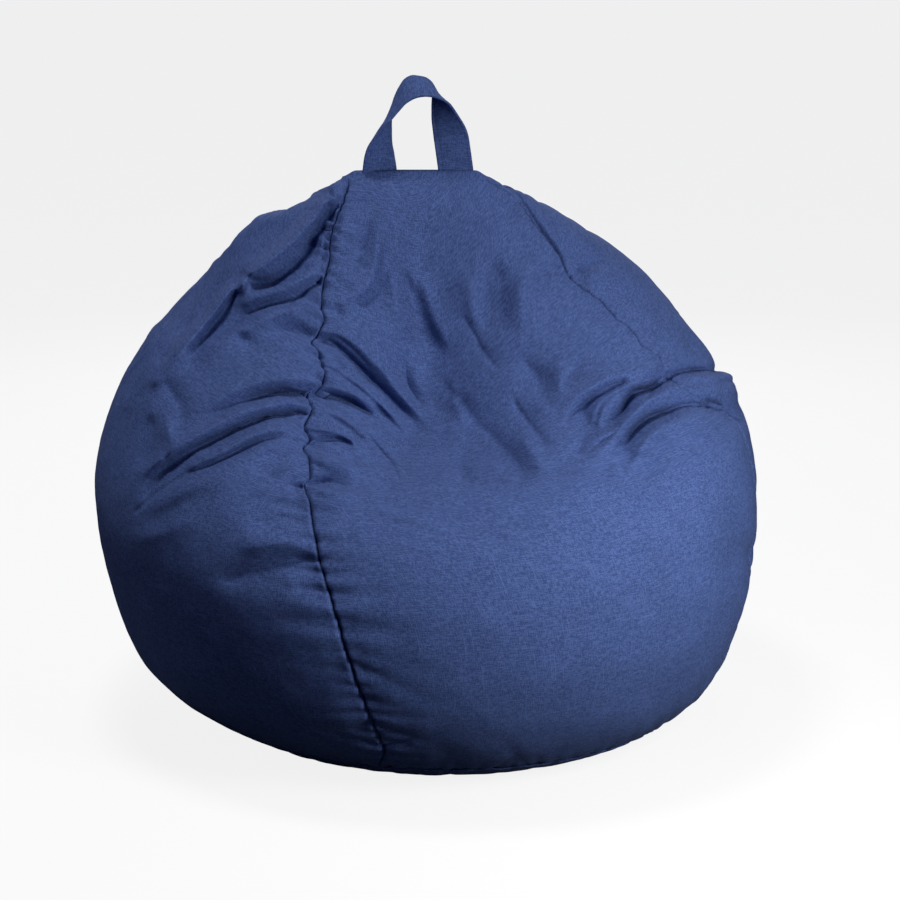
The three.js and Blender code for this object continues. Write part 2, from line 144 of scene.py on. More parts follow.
# The lie of the folds. Each line is a crest (heights over 0) or a valley (under 0) that the cloth is relaxed
# over: its name, millimetres in or out at even steps along it, and its course. Those that start on a seam are tucks.
# First come the folds of the photograph, as the eye in front sees them.
LEFT_PANEL_FOLDS = [
    # Upper half
    ("shoulder ridge", (12, 26, 34, 34, 30, 24, 12),
     [(-155, 955), (-190, 905), (-225, 868), (-265, 832), (-305, 803), (-345, 768), (-380, 725), (-415, 685),
      (-455, 640), (-490, 600)]),
    ("behind the shoulder ridge", (-3, -14, -20, -20, -15, -6),
     [(-180, 948), (-207, 920), (-240, 886), (-280, 853), (-320, 820), (-358, 784), (-394, 740), (-434, 694),
      (-476, 645)]),
    ("flat behind the shoulder", (-12, -14, -14, -10, -4),
     [(-275, 888), (-310, 860), (-355, 820), (-400, 774), (-440, 723), (-480, 673)]),
    ("notch behind the shoulder", (-10, -30, -26, -8), [(-196, 966), (-212, 950), (-232, 938), (-252, 930)]),
    ("flap behind the shoulder", (6, 12, 8), [(-278, 924), (-300, 914), (-326, 896)]),
    ("deep valley", (-18, -36, -44, -40, -26),
     [(-170, 900), (-195, 860), (-225, 822), (-250, 797), (-275, 783), (-300, 783)]),
    ("upper side of the deep valley", (-14, -28, -36, -28, -8),
     [(-172, 925), (-190, 884), (-214, 845), (-238, 820), (-262, 806)]),
    ("end of the deep valley", (-22, -12, -2), [(-300, 783), (-311, 788), (-322, 796)]),
    ("valley beside the ridge", (-18, -16, -14, -9, -3),
     [(-322, 797), (-345, 765), (-360, 738), (-378, 712), (-398, 680), (-418, 650)]),
    ("gap beside the seam", (-8, -13, -12, -5),
     [(-160, 922), (-171, 890), (-178, 860), (-186, 825), (-190, 806)]),
    ("small lit cheek", (2, 5), [(-182, 868), (-186, 840)]),
    ("strip between the valleys", (3, 9, 10, 8, 3),
     [(-180, 815), (-214, 795), (-251, 774), (-289, 761), (-320, 746)]),
    ("second valley", (-8, -20, -28, -28, -24, -16, -6),
     [(-186, 795), (-205, 780), (-230, 762), (-254, 750), (-285, 742), (-315, 726), (-345, 702), (-380, 672)]),
    ("crest under the second valley", (4, 12, 18, 15, 11, 4),
     [(-200, 742), (-240, 737), (-278, 727), (-331, 700), (-389, 656), (-420, 630)]),
    ("upper pinch, left", (-14, -15, -12, -3), [(-208, 684), (-225, 699), (-245, 704), (-272, 700)]),
    ("under the upper pinch", (4, 5, 3), [(-205, 655), (-240, 672), (-280, 678)]),
    ("small dent", (-1, -2, -1), [(-338, 690), (-320, 677), (-298, 664)]),
    ("flat cheek", (2, 3, 2), [(-240, 645), (-310, 640), (-380, 615)]),
    # Lower half
    ("crest over the middle pinch", (4, 8, 9, 7, 5, 2),
     [(-200, 608), (-250, 608), (-300, 603), (-345, 588), (-390, 562), (-430, 535)]),
    ("middle pinch, left", (-14, -18, -19, -15, -9, -3),
     [(-207, 587), (-235, 588), (-265, 587), (-300, 580), (-337, 566), (-375, 548), (-410, 528)]),
    ("crest between the long valleys", (4, 11, 13, 13, 12, 11, 9, 4),
     [(-215, 566), (-255, 568), (-300, 560), (-345, 543), (-385, 522), (-425, 499), (-460, 477), (-500, 448),
      (-532, 413)]),
    ("long valley", (-8, -16, -20, -20, -19, -16, -11, -3),
     [(-212, 543), (-235, 550), (-270, 545), (-315, 530), (-360, 510), (-400, 489), (-440, 466), (-475, 444),
      (-505, 421), (-528, 395)]),
    ("hollow at the end of the long valley", (-4, -10, -14, -10, -3),
     [(-405, 476), (-440, 455), (-475, 430), (-505, 400), (-522, 372)]),
    ("crest under the long valley", (3, 12, 14, 11, 6, 1),
     [(-220, 515), (-260, 519), (-300, 511), (-340, 492), (-385, 464), (-425, 440)]),
    ("low valley", (-3, -8, -10, -9, -8, -6, -3),
     [(-262, 507), (-300, 497), (-335, 481), (-370, 463), (-405, 446), (-440, 427), (-475, 407), (-505, 387),
      (-532, 362)]),
    ("crest under the low valley", (2, 6, 7, 6, 3, 1),
     [(-255, 487), (-300, 476), (-350, 451), (-400, 424), (-450, 396), (-495, 372)]),
    ("last valley", (0, -1, -1, 0), [(-400, 396), (-440, 378), (-480, 358), (-530, 336)]),
    ("last crest", (0, 2, 3, 1), [(-400, 352), (-450, 336), (-500, 318), (-545, 303)]),
    ("outer dent", (-4, -10, -12, -8, -3), [(-492, 548), (-496, 520), (-494, 492), (-505, 466), (-524, 440)]),
    ("crest beside the outer dent", (3, 7, 7, 3), [(-470, 540), (-466, 512), (-462, 488), (-476, 466)]),
    ("upper outer dent", (-2, -6, -6, -2), [(-466, 600), (-450, 572), (-440, 544), (-444, 516)]),
    ("third pinch, left", (-12, -6), [(-222, 487), (-242, 497)]),
    ("short dent", (-3, -5, -2), [(-300, 468), (-270, 474), (-240, 481)]),
    ("fourth pinch, left", (-13, -12, -4), [(-220, 420), (-235, 417), (-252, 409)]),
    ("crest over the fourth pinch, left", (4, 6, 2), [(-222, 444), (-250, 442), (-285, 430)]),
    ("belly valley", (-4, -10, -10, -3), [(-217, 352), (-260, 350), (-300, 341), (-332, 328)]),
    ("belly crest", (2, 4, 3), [(-215, 312), (-280, 305), (-340, 290)]),
    ("lower belly valley", (-12, -15, -15, -12, -3),
     [(-203, 268), (-240, 274), (-280, 265), (-320, 250), (-360, 235), (-402, 220)]),
    ("last belly valley", (-7, -6, -2), [(-194, 236), (-225, 236), (-255, 228)]),
]
FRONT_PANEL_FOLDS = [
    # The back rest
    ("upper pinch, right", (-8, -10, -11, -11, -10, -8, -5, -1),
     [(-205, 682), (-175, 677), (-150, 660), (-125, 637), (-100, 611), (-75, 585), (-50, 559), (-28, 534),
      (-8, 508), (6, 482)]),
    ("crest over the upper pinch", (3, 10, 13, 13, 12, 8, 3),
     [(-180, 714), (-148, 694), (-118, 667), (-92, 639), (-64, 608), (-38, 577), (-12, 546), (12, 512)]),
    ("crest under the upper pinch", (2, 6, 8, 6, 2),
     [(-188, 658), (-155, 636), (-125, 608), (-98, 578), (-68, 548), (-42, 514)]),
    ("thin valley between the pinches", (-3, -6, -7, -6, -3),
     [(-190, 640), (-150, 613), (-125, 591), (-100, 568), (-75, 544), (-50, 518), (-34, 493), (-25, 468),
      (-22, 446)]),
    ("middle pinch, right", (-12, -16, -17, -14, -9, -2),
     [(-207, 587), (-180, 581), (-155, 573), (-130, 561), (-105, 547), (-85, 531), (-68, 513)]),
    ("crest over the middle pinch, right", (5, 8, 6, 3), [(-182, 606), (-150, 596), (-122, 580), (-96, 560)]),
    ("crest under the middle pinch, right", (3, 7, 6, 2),
     [(-190, 562), (-160, 549), (-132, 531), (-108, 510), (-92, 490)]),
    ("thin valley under the pinch", (-3, -6, -6, -4, -2),
     [(-200, 553), (-165, 533), (-138, 512), (-112, 487), (-90, 466), (-62, 444), (-55, 426)]),
    ("third pinch, right", (-9, -9, -6, -1), [(-218, 488), (-195, 498), (-165, 500), (-142, 489), (-128, 466)]),
    ("crest over the third pinch", (3, 7, 7, 3), [(-205, 524), (-175, 520), (-145, 508), (-120, 482)]),
    ("crest over the fourth pinch", (4, 8, 7, 3), [(-208, 458), (-180, 462), (-150, 455), (-125, 436)]),
    ("crest under the fourth pinch", (3, 5, 3), [(-205, 398), (-170, 402), (-135, 396)]),
    ("fourth pinch, right", (-10, -9, -3), [(-217, 420), (-190, 427), (-162, 422), (-142, 414)]),
    ("left valley of the back", (-2, -7, -9, -7, -3),
     [(-98, 918), (-105, 880), (-115, 848), (-125, 822), (-130, 798)]),
    ("crest of the back", (3, 9, 10, 10, 9, 3),
     [(-86, 905), (-87, 860), (-89, 822), (-96, 792), (-114, 768), (-150, 742)]),
    ("shade of the crest", (-4, -9, -12, -9, -3),
     [(-68, 875), (-72, 830), (-74, 792), (-85, 763), (-108, 748), (-132, 738)]),
    ("edge of the face", (5, 9, 7, 3), [(-143, 915), (-150, 880), (-157, 845), (-164, 812)]),
    ("short valley by the seam", (-4, -7, -3), [(-163, 750), (-157, 730), (-155, 712)]),
    ("middle valley of the back", (-6, -13, -16, -18, -18, -13, -5),
     [(-42, 825), (-38, 795), (-31, 765), (-22, 730), (-10, 695), (5, 663), (22, 628)]),
    ("right side of the middle valley", (-3, -8, -11, -14, -12, -6),
     [(-30, 800), (-16, 752), (0, 706), (18, 668), (36, 634)]),
    ("crest left of it", (2, 6, 5, 2), [(-62, 800), (-56, 760), (-45, 715), (-35, 690)]),
    ("crest right of it", (2, 6, 6, 3), [(-8, 800), (0, 760), (14, 715), (35, 675)]),
    ("narrow valley", (-3, -8, -9, -6, -2),
     [(-32, 662), (-40, 638), (-38, 610), (-28, 582), (-10, 560), (6, 545)]),
    ("crest beside the narrow valley", (3, 5, 2), [(-18, 640), (-18, 605), (-2, 580)]),
    ("cross valley", (-3, -6, -6, -3), [(-2, 562), (18, 552), (38, 548), (60, 553)]),
    ("small valley over it", (-3, -6, -3), [(33, 614), (42, 590), (52, 568)]),
    ("broad valley of the back", (-3, -12, -17, -18, -13, -4),
     [(138, 828), (118, 794), (110, 765), (111, 735), (112, 708), (106, 672)]),
    ("right side of the broad valley", (-3, -12, -15, -13, -5),
     [(145, 815), (132, 790), (132, 755), (132, 725), (126, 690)]),
    ("crest right of the broad valley", (3, 7, 7, 3), [(172, 810), (164, 765), (164, 720), (160, 690)]),
    ("crest left of the broad valley", (1, 4, 3), [(75, 800), (78, 750), (85, 710)]),
    ("thin valley of the back", (-2, -4, -5, -4, -2),
     [(62, 722), (84, 690), (96, 665), (115, 640), (138, 618)]),
    ("valley over the seat", (-3, -13, -15, -11, -3),
     [(158, 658), (180, 632), (200, 605), (212, 578), (206, 548)]),
    ("crest over the seat", (2, 5, 3), [(235, 650), (240, 615), (238, 580)]),
    ("thin valley of the seat", (-3, -6, -6, -3), [(150, 585), (163, 556), (180, 530), (200, 505), (220, 480)]),
    ("soft shade by the right seam", (-4, -7, -3), [(238, 812), (215, 805), (192, 796)]),
    ("right thin valley", (-2, -4, -2), [(285, 652), (262, 622), (242, 595)]),
    # The seat
    ("valley into the seat", (-5, -13, -18, -20, -19, -13, -5),
     [(40, 602), (56, 572), (78, 542), (108, 508), (140, 475), (162, 448), (187, 405)]),
    ("left side of the valley into the seat", (-3, -10, -12, -9, -3),
     [(58, 540), (84, 508), (112, 478), (138, 452), (158, 425)]),
    ("crest beside it", (2, 5, 2), [(170, 500), (194, 465), (216, 430)]),
    ("second valley into the seat", (-3, -5, -2), [(108, 485), (120, 465), (128, 448)]),
    ("dent of the seat", (-3, -7, -6, -2), [(52, 478), (58, 452), (64, 424), (68, 402)]),
    ("left crease of the seat", (-3, -5, -2), [(-142, 472), (-134, 458), (-126, 446)]),
    # The right arm
    ("crest over the right pinch", (6, 10, 11, 9, 5, 2),
     [(425, 634), (385, 626), (342, 613), (300, 595), (268, 572), (248, 545)]),
    ("hooked valley", (-8, -13, -16, -18, -15, -8),
     [(352, 601), (325, 589), (300, 575), (284, 559), (281, 541), (288, 524), (303, 511)]),
    ("crest inside the hook", (5, 9, 9, 7, 3),
     [(396, 605), (360, 598), (334, 583), (317, 565), (307, 545), (305, 527)]),
    ("right upper pinch", (-27, -28, -26, -26, -24, -20, -13, -6),
     [(437, 614), (410, 599), (382, 590), (366, 582), (356, 563), (348, 545), (330, 525), (306, 506)]),
    ("roll of the right arm", (7, 14, 15, 13, 9, 3),
     [(470, 601), (430, 590), (402, 574), (380, 554), (356, 530), (331, 504), (308, 478)]),
    ("right lower pinch", (-16, -10, -12, -22, -28, -28, -25, -19, -12, -6),
     [(503, 564), (478, 562), (450, 556), (425, 548), (403, 539), (385, 528), (371, 513), (360, 497),
      (351, 478), (344, 458), (337, 438)]),
    ("crest under the lower pinch", (4, 9, 11, 8, 3),
     [(485, 541), (445, 531), (410, 511), (388, 484), (372, 452)]),
    ("soft valley of the arm", (-3, -7, -8, -3), [(445, 505), (412, 467), (386, 440), (358, 418)]),
    ("short valley of the arm", (-7, -14, -6), [(290, 503), (278, 484), (278, 458)]),
    ("hollow under the arm", (-3, -8, -8, -3), [(292, 428), (322, 440), (360, 456), (398, 474)]),
    ("below the nick", (-12, -8, -3), [(575, 288), (556, 264), (538, 236)]),
    ("nick in the right side", (-10, -16, -13, -8), [(556, 296), (574, 293), (590, 287), (612, 280)]),
]
RIGHT_PANEL_FOLDS = [
    ("fold round the right side", (-20, -18, -7, -1, 0),
     [(437, 618), (470, 624), (505, 628), (535, 631), (570, 636), (610, 642)]),
    ("shade under it", (-12, -9, -4), [(446, 609), (470, 604), (496, 603)]),
    ("crest under it", (4, 8, 10, 8, 4), [(476, 613), (505, 611), (535, 611), (570, 610), (610, 606)]),
    ("roll of the right side", (4, 6, 3, 0), [(482, 590), (515, 584), (550, 578), (600, 570)]),
    ("lower tuck of the right side", (-18, -15, -11, -6),
     [(505, 565), (526, 559), (546, 548), (562, 537), (585, 520)]),
    ("thin valley of the right side", (-2, -5, -5, -3), [(450, 692), (472, 667), (492, 642), (508, 628)]),
    ("top tuck of the right side", (-14, -13, -9, -3), [(252, 798), (275, 806), (300, 820), (322, 832)]),
    ("small tuck under it", (-9, -9, -3), [(257, 794), (275, 786), (290, 776)]),
    ("crest between the tucks", (2, 3), [(285, 798), (310, 803)]),
    ("soft shade over it", (-3, -7, -5), [(242, 826), (270, 836), (292, 850)]),
    ("shallow valley of the right side", (-3, -6, -6, -3), [(312, 772), (342, 766), (372, 766), (412, 778)]),
]
# The part of the back panel that shows behind the left shoulder
SHOULDER_FOLDS = [
    ("notch behind the shoulder", (-12, -30, -30, -8), [(-196, 966), (-212, 950), (-232, 938), (-250, 932)]),
    ("flap behind the shoulder", (4, 9, 4), [(-274, 926), (-298, 914), (-326, 896)]),
]
# What the photograph doesn't show: soft sags and pulls, seen from behind and from both sides
BACK_FOLDS = [
    ("left pull", (-2, -5, -6, -4, -1), [(-118, 925), (-134, 868), (-182, 796), (-236, 718), (-262, 640)]),
    ("left crest", (1, 4, 4, 1), [(-78, 905), (-92, 836), (-136, 752), (-160, 668)]),
    ("middle pull", (-2, -4, -5, -3, -1), [(-32, 925), (-8, 862), (-24, 790), (16, 706), (62, 640)]),
    ("right crest", (1, 4, 4, 1), [(45, 905), (74, 836), (92, 752), (142, 672)]),
    ("right pull", (-2, -5, -5, -3, -1), [(95, 925), (120, 866), (152, 796), (208, 724), (270, 672)]),
    ("left sag", (-1, -5, -6, -2), [(-420, 600), (-360, 560), (-290, 545), (-220, 556)]),
    ("crest over the left sag", (1, 2, 2, 1), [(-400, 640), (-340, 605), (-280, 590), (-230, 600)]),
    ("right sag", (-1, -6, -5, -2), [(410, 590), (350, 552), (280, 538), (210, 550)]),
    ("crest over the right sag", (1, 2, 2, 1), [(395, 628), (340, 598), (275, 583), (220, 592)]),
    ("middle sag", (-1, -4, -5, -4, -1), [(-170, 478), (-100, 448), (0, 436), (90, 446), (160, 468)]),
    ("crest over the middle sag", (1, 2, 2, 1), [(-150, 520), (-60, 490), (50, 485), (140, 508)]),
    ("low left sag", (-1, -4, -4, -1), [(-460, 335), (-390, 302), (-310, 292), (-240, 300)]),
    ("low right sag", (-1, -4, -4, -1), [(455, 325), (385, 295), (305, 286), (240, 296)]),
]
LEFT_SIDE_FOLDS = [
    ("rear shoulder valley", (-1, -3, -6, -6, -2),
     [(235, 925), (235, 840), (255, 750), (300, 660), (345, 590)]),
    ("rear shoulder crest", (3, 6, 6, 3), [(285, 880), (305, 790), (350, 690), (400, 610)]),
    ("front crest", (1, 1, 1, 1), [(140, 880), (120, 790), (140, 700), (180, 620)]),
    ("rear pull", (-4, -6, -4, -1), [(335, 780), (370, 700), (420, 620), (455, 540)]),
    ("side sag", (-2, -5, -6, -5, -2), [(0, 560), (90, 515), (200, 498), (310, 515), (400, 560)]),
    ("crest over the side sag", (1, 3, 4, 3, 1), [(10, 610), (100, 562), (200, 545), (300, 562), (380, 605)]),
    ("lower side sag", (-1, -4, -4, -3, -1), [(-60, 430), (50, 385), (180, 372), (300, 392), (400, 430)]),
    ("crest over the lower side sag", (1, 3, 3, 1), [(-20, 470), (80, 435), (200, 422), (320, 445)]),
    ("low side sag", (-1, -3, -3, -1), [(20, 270), (120, 245), (230, 242), (330, 262)]),
]
RIGHT_SIDE_FOLDS = [
    ("front shoulder valley", (-2, -6, -6, -3, -1), [(150, 900), (110, 820), (90, 740), (80, 660), (95, 590)]),
    ("shoulder crest", (3, 5, 5, 3), [(200, 900), (185, 800), (175, 700), (190, 610)]),
    ("rear shoulder valley", (-3, -7, -8, -4, -1),
     [(240, 900), (260, 810), (280, 720), (320, 630), (370, 560)]),
    ("rear crest", (2, 5, 4, 2), [(310, 840), (340, 750), (385, 660), (430, 580)]),
    ("side sag", (-3, -5, -6, -5, -2), [(-60, 520), (60, 478), (180, 468), (290, 488), (390, 530)]),
    ("crest over the side sag", (2, 4, 4, 3, 1), [(-40, 570), (70, 525), (180, 512), (290, 532), (370, 575)]),
    ("lower side sag", (-1, -3, -4, -3, -1), [(-40, 380), (70, 340), (190, 332), (300, 352), (390, 390)]),
    ("crest over the lower side sag", (1, 3, 3, 1), [(0, 420), (100, 388), (210, 382), (310, 405)]),
    ("low side sag", (-1, -3, -3, -1), [(30, 250), (130, 228), (240, 226), (340, 246)]),
]
# The eye, which coordinate runs across and which one points at the eye, and the folds of each panel. For the
# two sides, across runs towards the back.
VIEWS = {
    "front": (FRONT_EYE, 0, 1, {"front_panel": FRONT_PANEL_FOLDS, "right_panel": RIGHT_PANEL_FOLDS,
                                "back_panel": SHOULDER_FOLDS, "left_panel": LEFT_PANEL_FOLDS}),
    "back": (BACK_EYE, 0, 1, {"back_panel": BACK_FOLDS}),
    "left": (LEFT_EYE, 1, 0, {"left_panel": LEFT_SIDE_FOLDS}),
    "right": (RIGHT_EYE, 1, 0, {"right_panel": RIGHT_SIDE_FOLDS}),
}
# How squarely the cloth faces the eye, as a cosine, where a fold starts to show and where it is whole. Below the
# limit, a fold moves the cloth no further along the sight line.
FACING = (-0.02, 0.24)
FACING_LIMIT = 0.45
# Places of the front view where folds run on over its edge and so show in the outline: across, height, reach.
# There they start to show further round, and move the cloth straight outward as it turns away.
RIM_PLACES = [(560, 620, 70), (592, 288, 45), (-265, 915, 75)]
FACING_AT_RIM = (-0.4, -0.15)
RIM_TURN = (0.1, 0.4)
# The other views' folds come in where the cloth turns away from the front
TURNED_AWAY = (0.0, 0.3)
# The heights of the lines are evened out by a power and a scale
HEIGHT_SCALE = 3.0
HEIGHT_POWER = 0.65
# Lines that start or end no higher or deeper than this fade out there, over this share of their length
LOOSE_END = 6
LOOSE_FADE = (-0.02, 0.22)
# The cloth falls back to the bag's own shape this far from its folds; its crests are rounded over this far
SLACK = 30
CREST_ROUND = 4
# The grid on which the cloth relaxes: its finest cell, half its width, its top and its foot, and how many rounds
# it gets at each coarseness
FIELD_CELL = 2.5
FIELD_ACROSS = 680
FIELD_TOP = 1020
FIELD_FLOOR = -160
FIELD_COARSENESS = (8, 4, 2, 1)
FIELD_ROUNDS = 70
# Levels over which the base seam and the ridge hold the cloth smooth
BASE_HOLD = 0.5
RIDGE_HOLD = 0.6

# Sharp creases cut into the relaxed cloth of the front view: name, depth at even steps, half width, course
CREASE_SCALE = 1.4
CREASE_REACH = 4
LEFT_CREASES = [
    ("black line of the middle pinch, left", (6, 11, 12, 8, 0), 4,
     [(-200, 588), (-235, 589), (-265, 588), (-300, 581), (-340, 566)]),
    ("black line of the long valley", (4, 10, 10, 7, 5, 3, 0), 4,
     [(-216, 547), (-240, 551), (-275, 544), (-320, 529), (-365, 508), (-405, 488), (-450, 462)]),
    ("line of the low valley", (2, 3, 3, 2, 3, 4, 2), 4,
     [(-280, 503), (-330, 484), (-380, 459), (-420, 440), (-460, 417), (-500, 391), (-530, 363)]),
    ("faint line", (1, 2.5, 2.5, 1), 4, [(-300, 558), (-330, 548), (-360, 532), (-390, 515)]),
    ("line of the second valley", (3, 5, 5, 3, 1), 4,
     [(-188, 792), (-215, 770), (-245, 742), (-262, 734), (-300, 728), (-345, 698)]),
    ("seam gap", (2, 5, 5, 3, 1), 5, [(-156, 928), (-168, 893), (-175, 862), (-184, 828), (-188, 808)]),
    ("fourth pinch line, left", (6, 5, 1), 4, [(-218, 420), (-235, 418), (-250, 411)]),
    ("tuck line a", (2, 3, 1), 4, [(-200, 269), (-225, 273), (-250, 274)]),
]
FRONT_CREASES = [
    ("black line of the upper pinch", (6, 7, 7, 7, 7, 5, 1), 5,
     [(-204, 682), (-175, 680), (-148, 658), (-120, 631), (-95, 604), (-65, 573), (-30, 536)]),
    ("fan line a", (5, 5, 5, 4, 1), 5, [(-198, 672), (-168, 652), (-134, 620), (-104, 590), (-75, 560)]),
    ("fan line b", (2, 3, 2, 1), 4, [(-190, 690), (-160, 684), (-130, 662), (-105, 636)]),
    ("black line of the middle pinch, right", (5, 9, 10, 8, 2), 4,
     [(-207, 587), (-180, 582), (-152, 573), (-125, 560), (-98, 543)]),
    ("fan line c", (5, 5, 4, 1), 5, [(-203, 575), (-175, 560), (-145, 541), (-115, 515), (-95, 490)]),
    ("third pinch line, right", (4, 3, 2, 1), 4, [(-217, 488), (-195, 498), (-165, 501), (-140, 489)]),
    ("fourth pinch line, right", (5, 4, 1), 4, [(-217, 420), (-195, 427), (-165, 423)]),
    ("seat line", (1, 3, 3, 1), 4, [(-105, 505), (-82, 475), (-62, 450), (-52, 425)]),
    ("thin crease of the back", (1, 3, 3, 2, 0), 4, [(64, 720), (84, 690), (96, 665), (115, 640), (138, 618)]),
    ("thin crease of the seat", (1, 4, 4, 3, 1), 4,
     [(150, 585), (163, 556), (180, 530), (200, 505), (220, 480)]),
    ("edge under the crest of the back", (1, 3, 4, 4, 3, 1), 4,
     [(-76, 850), (-78, 810), (-80, 780), (-92, 763), (-112, 752), (-132, 745)]),
    ("line of the narrow valley", (1, 3, 3, 1), 4, [(-38, 640), (-37, 610), (-27, 583), (-8, 558)]),
    ("black line of the right pinch", (14, 20, 18, 16, 14, 9, 2), 4.5,
     [(436, 613), (412, 600), (392, 591), (370, 585), (357, 566), (350, 548), (332, 527)]),
    ("side branch of the right pinch", (11, 8, 2), 5, [(412, 598), (398, 583), (386, 572)]),
    ("hook line a", (4, 8, 9, 7, 2), 5, [(345, 585), (325, 572), (312, 556), (306, 540), (300, 522)]),
    ("hook line b", (3, 6, 6, 2), 5, [(300, 577), (280, 560), (262, 545), (250, 530)]),
    ("hook line c", (4, 7, 6, 2), 5, [(345, 520), (330, 503), (310, 490), (296, 478)]),
    ("black line of the lower pinch", (12, 8, 9, 15, 17, 11, 2), 4.5,
     [(500, 562), (465, 560), (430, 550), (403, 540), (384, 527), (368, 509), (356, 488)]),
    ("arm line a", (2, 3, 1), 4, [(352, 500), (338, 478), (325, 462)]),
    ("arm line b", (2, 3, 1), 4, [(440, 545), (410, 536), (395, 527)]),
    ("bright edge a", (-2, -2.5, -2.5, -1), 6, [(-208, 400), (-140, 400), (-80, 392), (-40, 380)]),
    ("bright edge b", (-1, -2.5, -2.5, -1), 6, [(-90, 372), (-45, 352), (-10, 344), (40, 326)]),
    ("bright edge c", (-1, -2.5, -1), 6, [(110, 328), (140, 321), (172, 316)]),
    ("bright edge d", (-1, -3, -3, -1), 5, [(205, 374), (240, 374), (285, 370), (345, 362)]),
]
RIGHT_CREASES = [
    ("black line round the right side", (14, 16, 10, 2, 0), 4,
     [(437, 618), (470, 624), (505, 628), (535, 631), (570, 636)]),
    ("line of the lower tuck", (12, 11, 8, 3), 5, [(505, 565), (526, 559), (546, 548), (562, 537)]),
    ("line under the roll", (3, 3, 2), 4, [(500, 606), (525, 602), (548, 600)]),
    ("gap beside the right seam", (4, 7, 8, 7, 3), 5,
     [(142, 960), (164, 934), (194, 890), (223, 853), (243, 824)]),
    ("top tuck line", (5, 5, 3, 1), 4, [(252, 798), (275, 806), (300, 820), (312, 826)]),
    ("small tuck line", (5, 4, 1), 4, [(254, 796), (268, 788), (284, 780)]),
    ("outer line of the right side", (1, 3, 3, 2), 4, [(455, 688), (475, 664), (495, 640), (506, 630)]),
]
CREASES = {"front_panel": FRONT_CREASES, "right_panel": RIGHT_CREASES, "back_panel": [], "left_panel": LEFT_CREASES}

# Unevenness that is too small to be laid out: size of the bumps, height, seed
SOFT_BUMPS = [((150, 150, 110), 2.6, 3), ((62, 62, 50), 1.3, 4), ((24, 24, 20), 0.4, 5)]
SMALL_FOLDS = [(85, 3.2, 11), (46, 1.8, 12), (25, 0.8, 13)]
SMALL_FOLD_LIFT = 0.4
# The small folds are bent by another noise, and they have their full height only from the lip up
BEND = 22
BEND_SIZE = 70
BEND_SEEDS = (6, 7, 8)
TIGHT_SHARE = 0.35
LOOSE_LEVELS = (7.2, 8.6)
BUMPS_FROM_BASE = 60
BASE_PINCH = 3.0
BASE_PINCH_WIDTH = 4.0

# Little puckers where the thread draws the cloth in, one about every 24 mm along each seam. The pairs are limits:
# each pucker's step, depth and reach are drawn as a share of the full value, and its half width in millimetres.
PUCKER_PITCH = 24
PUCKER_STEPS = (0.5, 1.5)
PUCKER_DEPTH = 5
PUCKER_REACH = 75
PUCKER_DEPTHS = (0.25, 1.0)
PUCKER_REACHES = (0.35, 1.0)
PUCKER_WIDTHS = (5, 9)
PUCKER_WIDENING = 60
PUCKER_SLANT = 0.22
# How strong they are along each of the four seams, and the seeds for the seams, the panels' feet and the base
SEAM_PUCKER = [3.0, 1.0, 2.0, 2.0]
SEAM_SEED = 20
PANEL_SEED = 40
BASE_SEED = 60

# The base panel: thickness, the radius at which its puckers are spaced, and its grid, flat on the floor to the
# level of the floor's edge and then up the rim to just under the base seam
BASE_CLOTH = 3
BASE_RADIUS = 430
BASE_COLUMNS = 300
BASE_FLAT_ROWS = 40
BASE_RIM_ROWS = 34
LEVEL_GAP = 0.03

STRAP_WIDTH = 65
STRAP_THICKNESS = 5
STRAP_Y = 199.5
# From the left foot to the right one: across and height of the front edge, across and height of the rear edge
STRAP_STATIONS = [
    (-121, 940, -57, 940), (-120, 957, -57, 957), (-115, 988, -61, 984), (-107, 1008, -66, 1012),
    (-92, 1028, -67, 1051), (-79, 1043, -65, 1072), (-66, 1054, -59, 1092), (-53, 1067, -50, 1110),
    (-39, 1082, -41, 1123), (-24, 1091, -30, 1129), (-7, 1095, -18, 1128), (10, 1095, -3, 1124),
    (25, 1091, 7, 1113), (40, 1082, 8, 1095), (55, 1062, 7, 1068), (67, 1044, 8, 1046),
    (74, 1026, 10, 1026), (79, 1000, 13, 1000), (85, 957, 19, 955), (86, 940, 20, 940),
]
# Its grid, the unevenness of its cloth, which fades over a share of its length at each foot, and its two hems
STRAP_RINGS = 200
STRAP_FLAT_POINTS = 36
STRAP_BEND_POINTS = 7
STRAP_WAVES = [((40, 40, 34), 1.5, 8), ((14, 14, 12), 0.5, 9)]
STRAP_FOOT = 0.06
HEM_IN = 8
HEM_HALF_WIDTH = 1.6
HEM_DEPTH = 0.7

THREADS_PER_METRE = 700
SLUB_LENGTH = 6
DARK_YARN = (0.040, 0.070, 0.200, 1)
LIGHT_YARN = (0.086, 0.139, 0.345, 1)
SHEEN_TINT = (0.45, 0.55, 0.85, 1)
# Clouds between these two values darken and lighten the colour; slubs are less rough than the yarn between them
CLOUD_LIMITS = (0.3, 0.7)
CLOUD_SHADE = (0.93, 1.07)
YARN_ROUGHNESS = (0.92, 0.78)
WEAVE_BUMP = 0.2
WEAVE_BUMP_HEIGHT = 0.0006

# The camera sees the floor and the room nearly white, but they throw little light on the bag. The floor and the
# lights are in metres.
WHITE = (1, 1, 1, 1)
FLOOR_HALF_WIDTH = 40
FLOOR_GREY = (0.10, 0.10, 0.10, 1)
FLOOR_SEEN = (0.16, 0.16, 0.16, 1)
FLOOR_GLOW = 0.86
ROOM_TINT = (0.45, 0.55, 1.7, 1)
ROOM_LIGHT = 0.035
ROOM_SEEN = 0.97
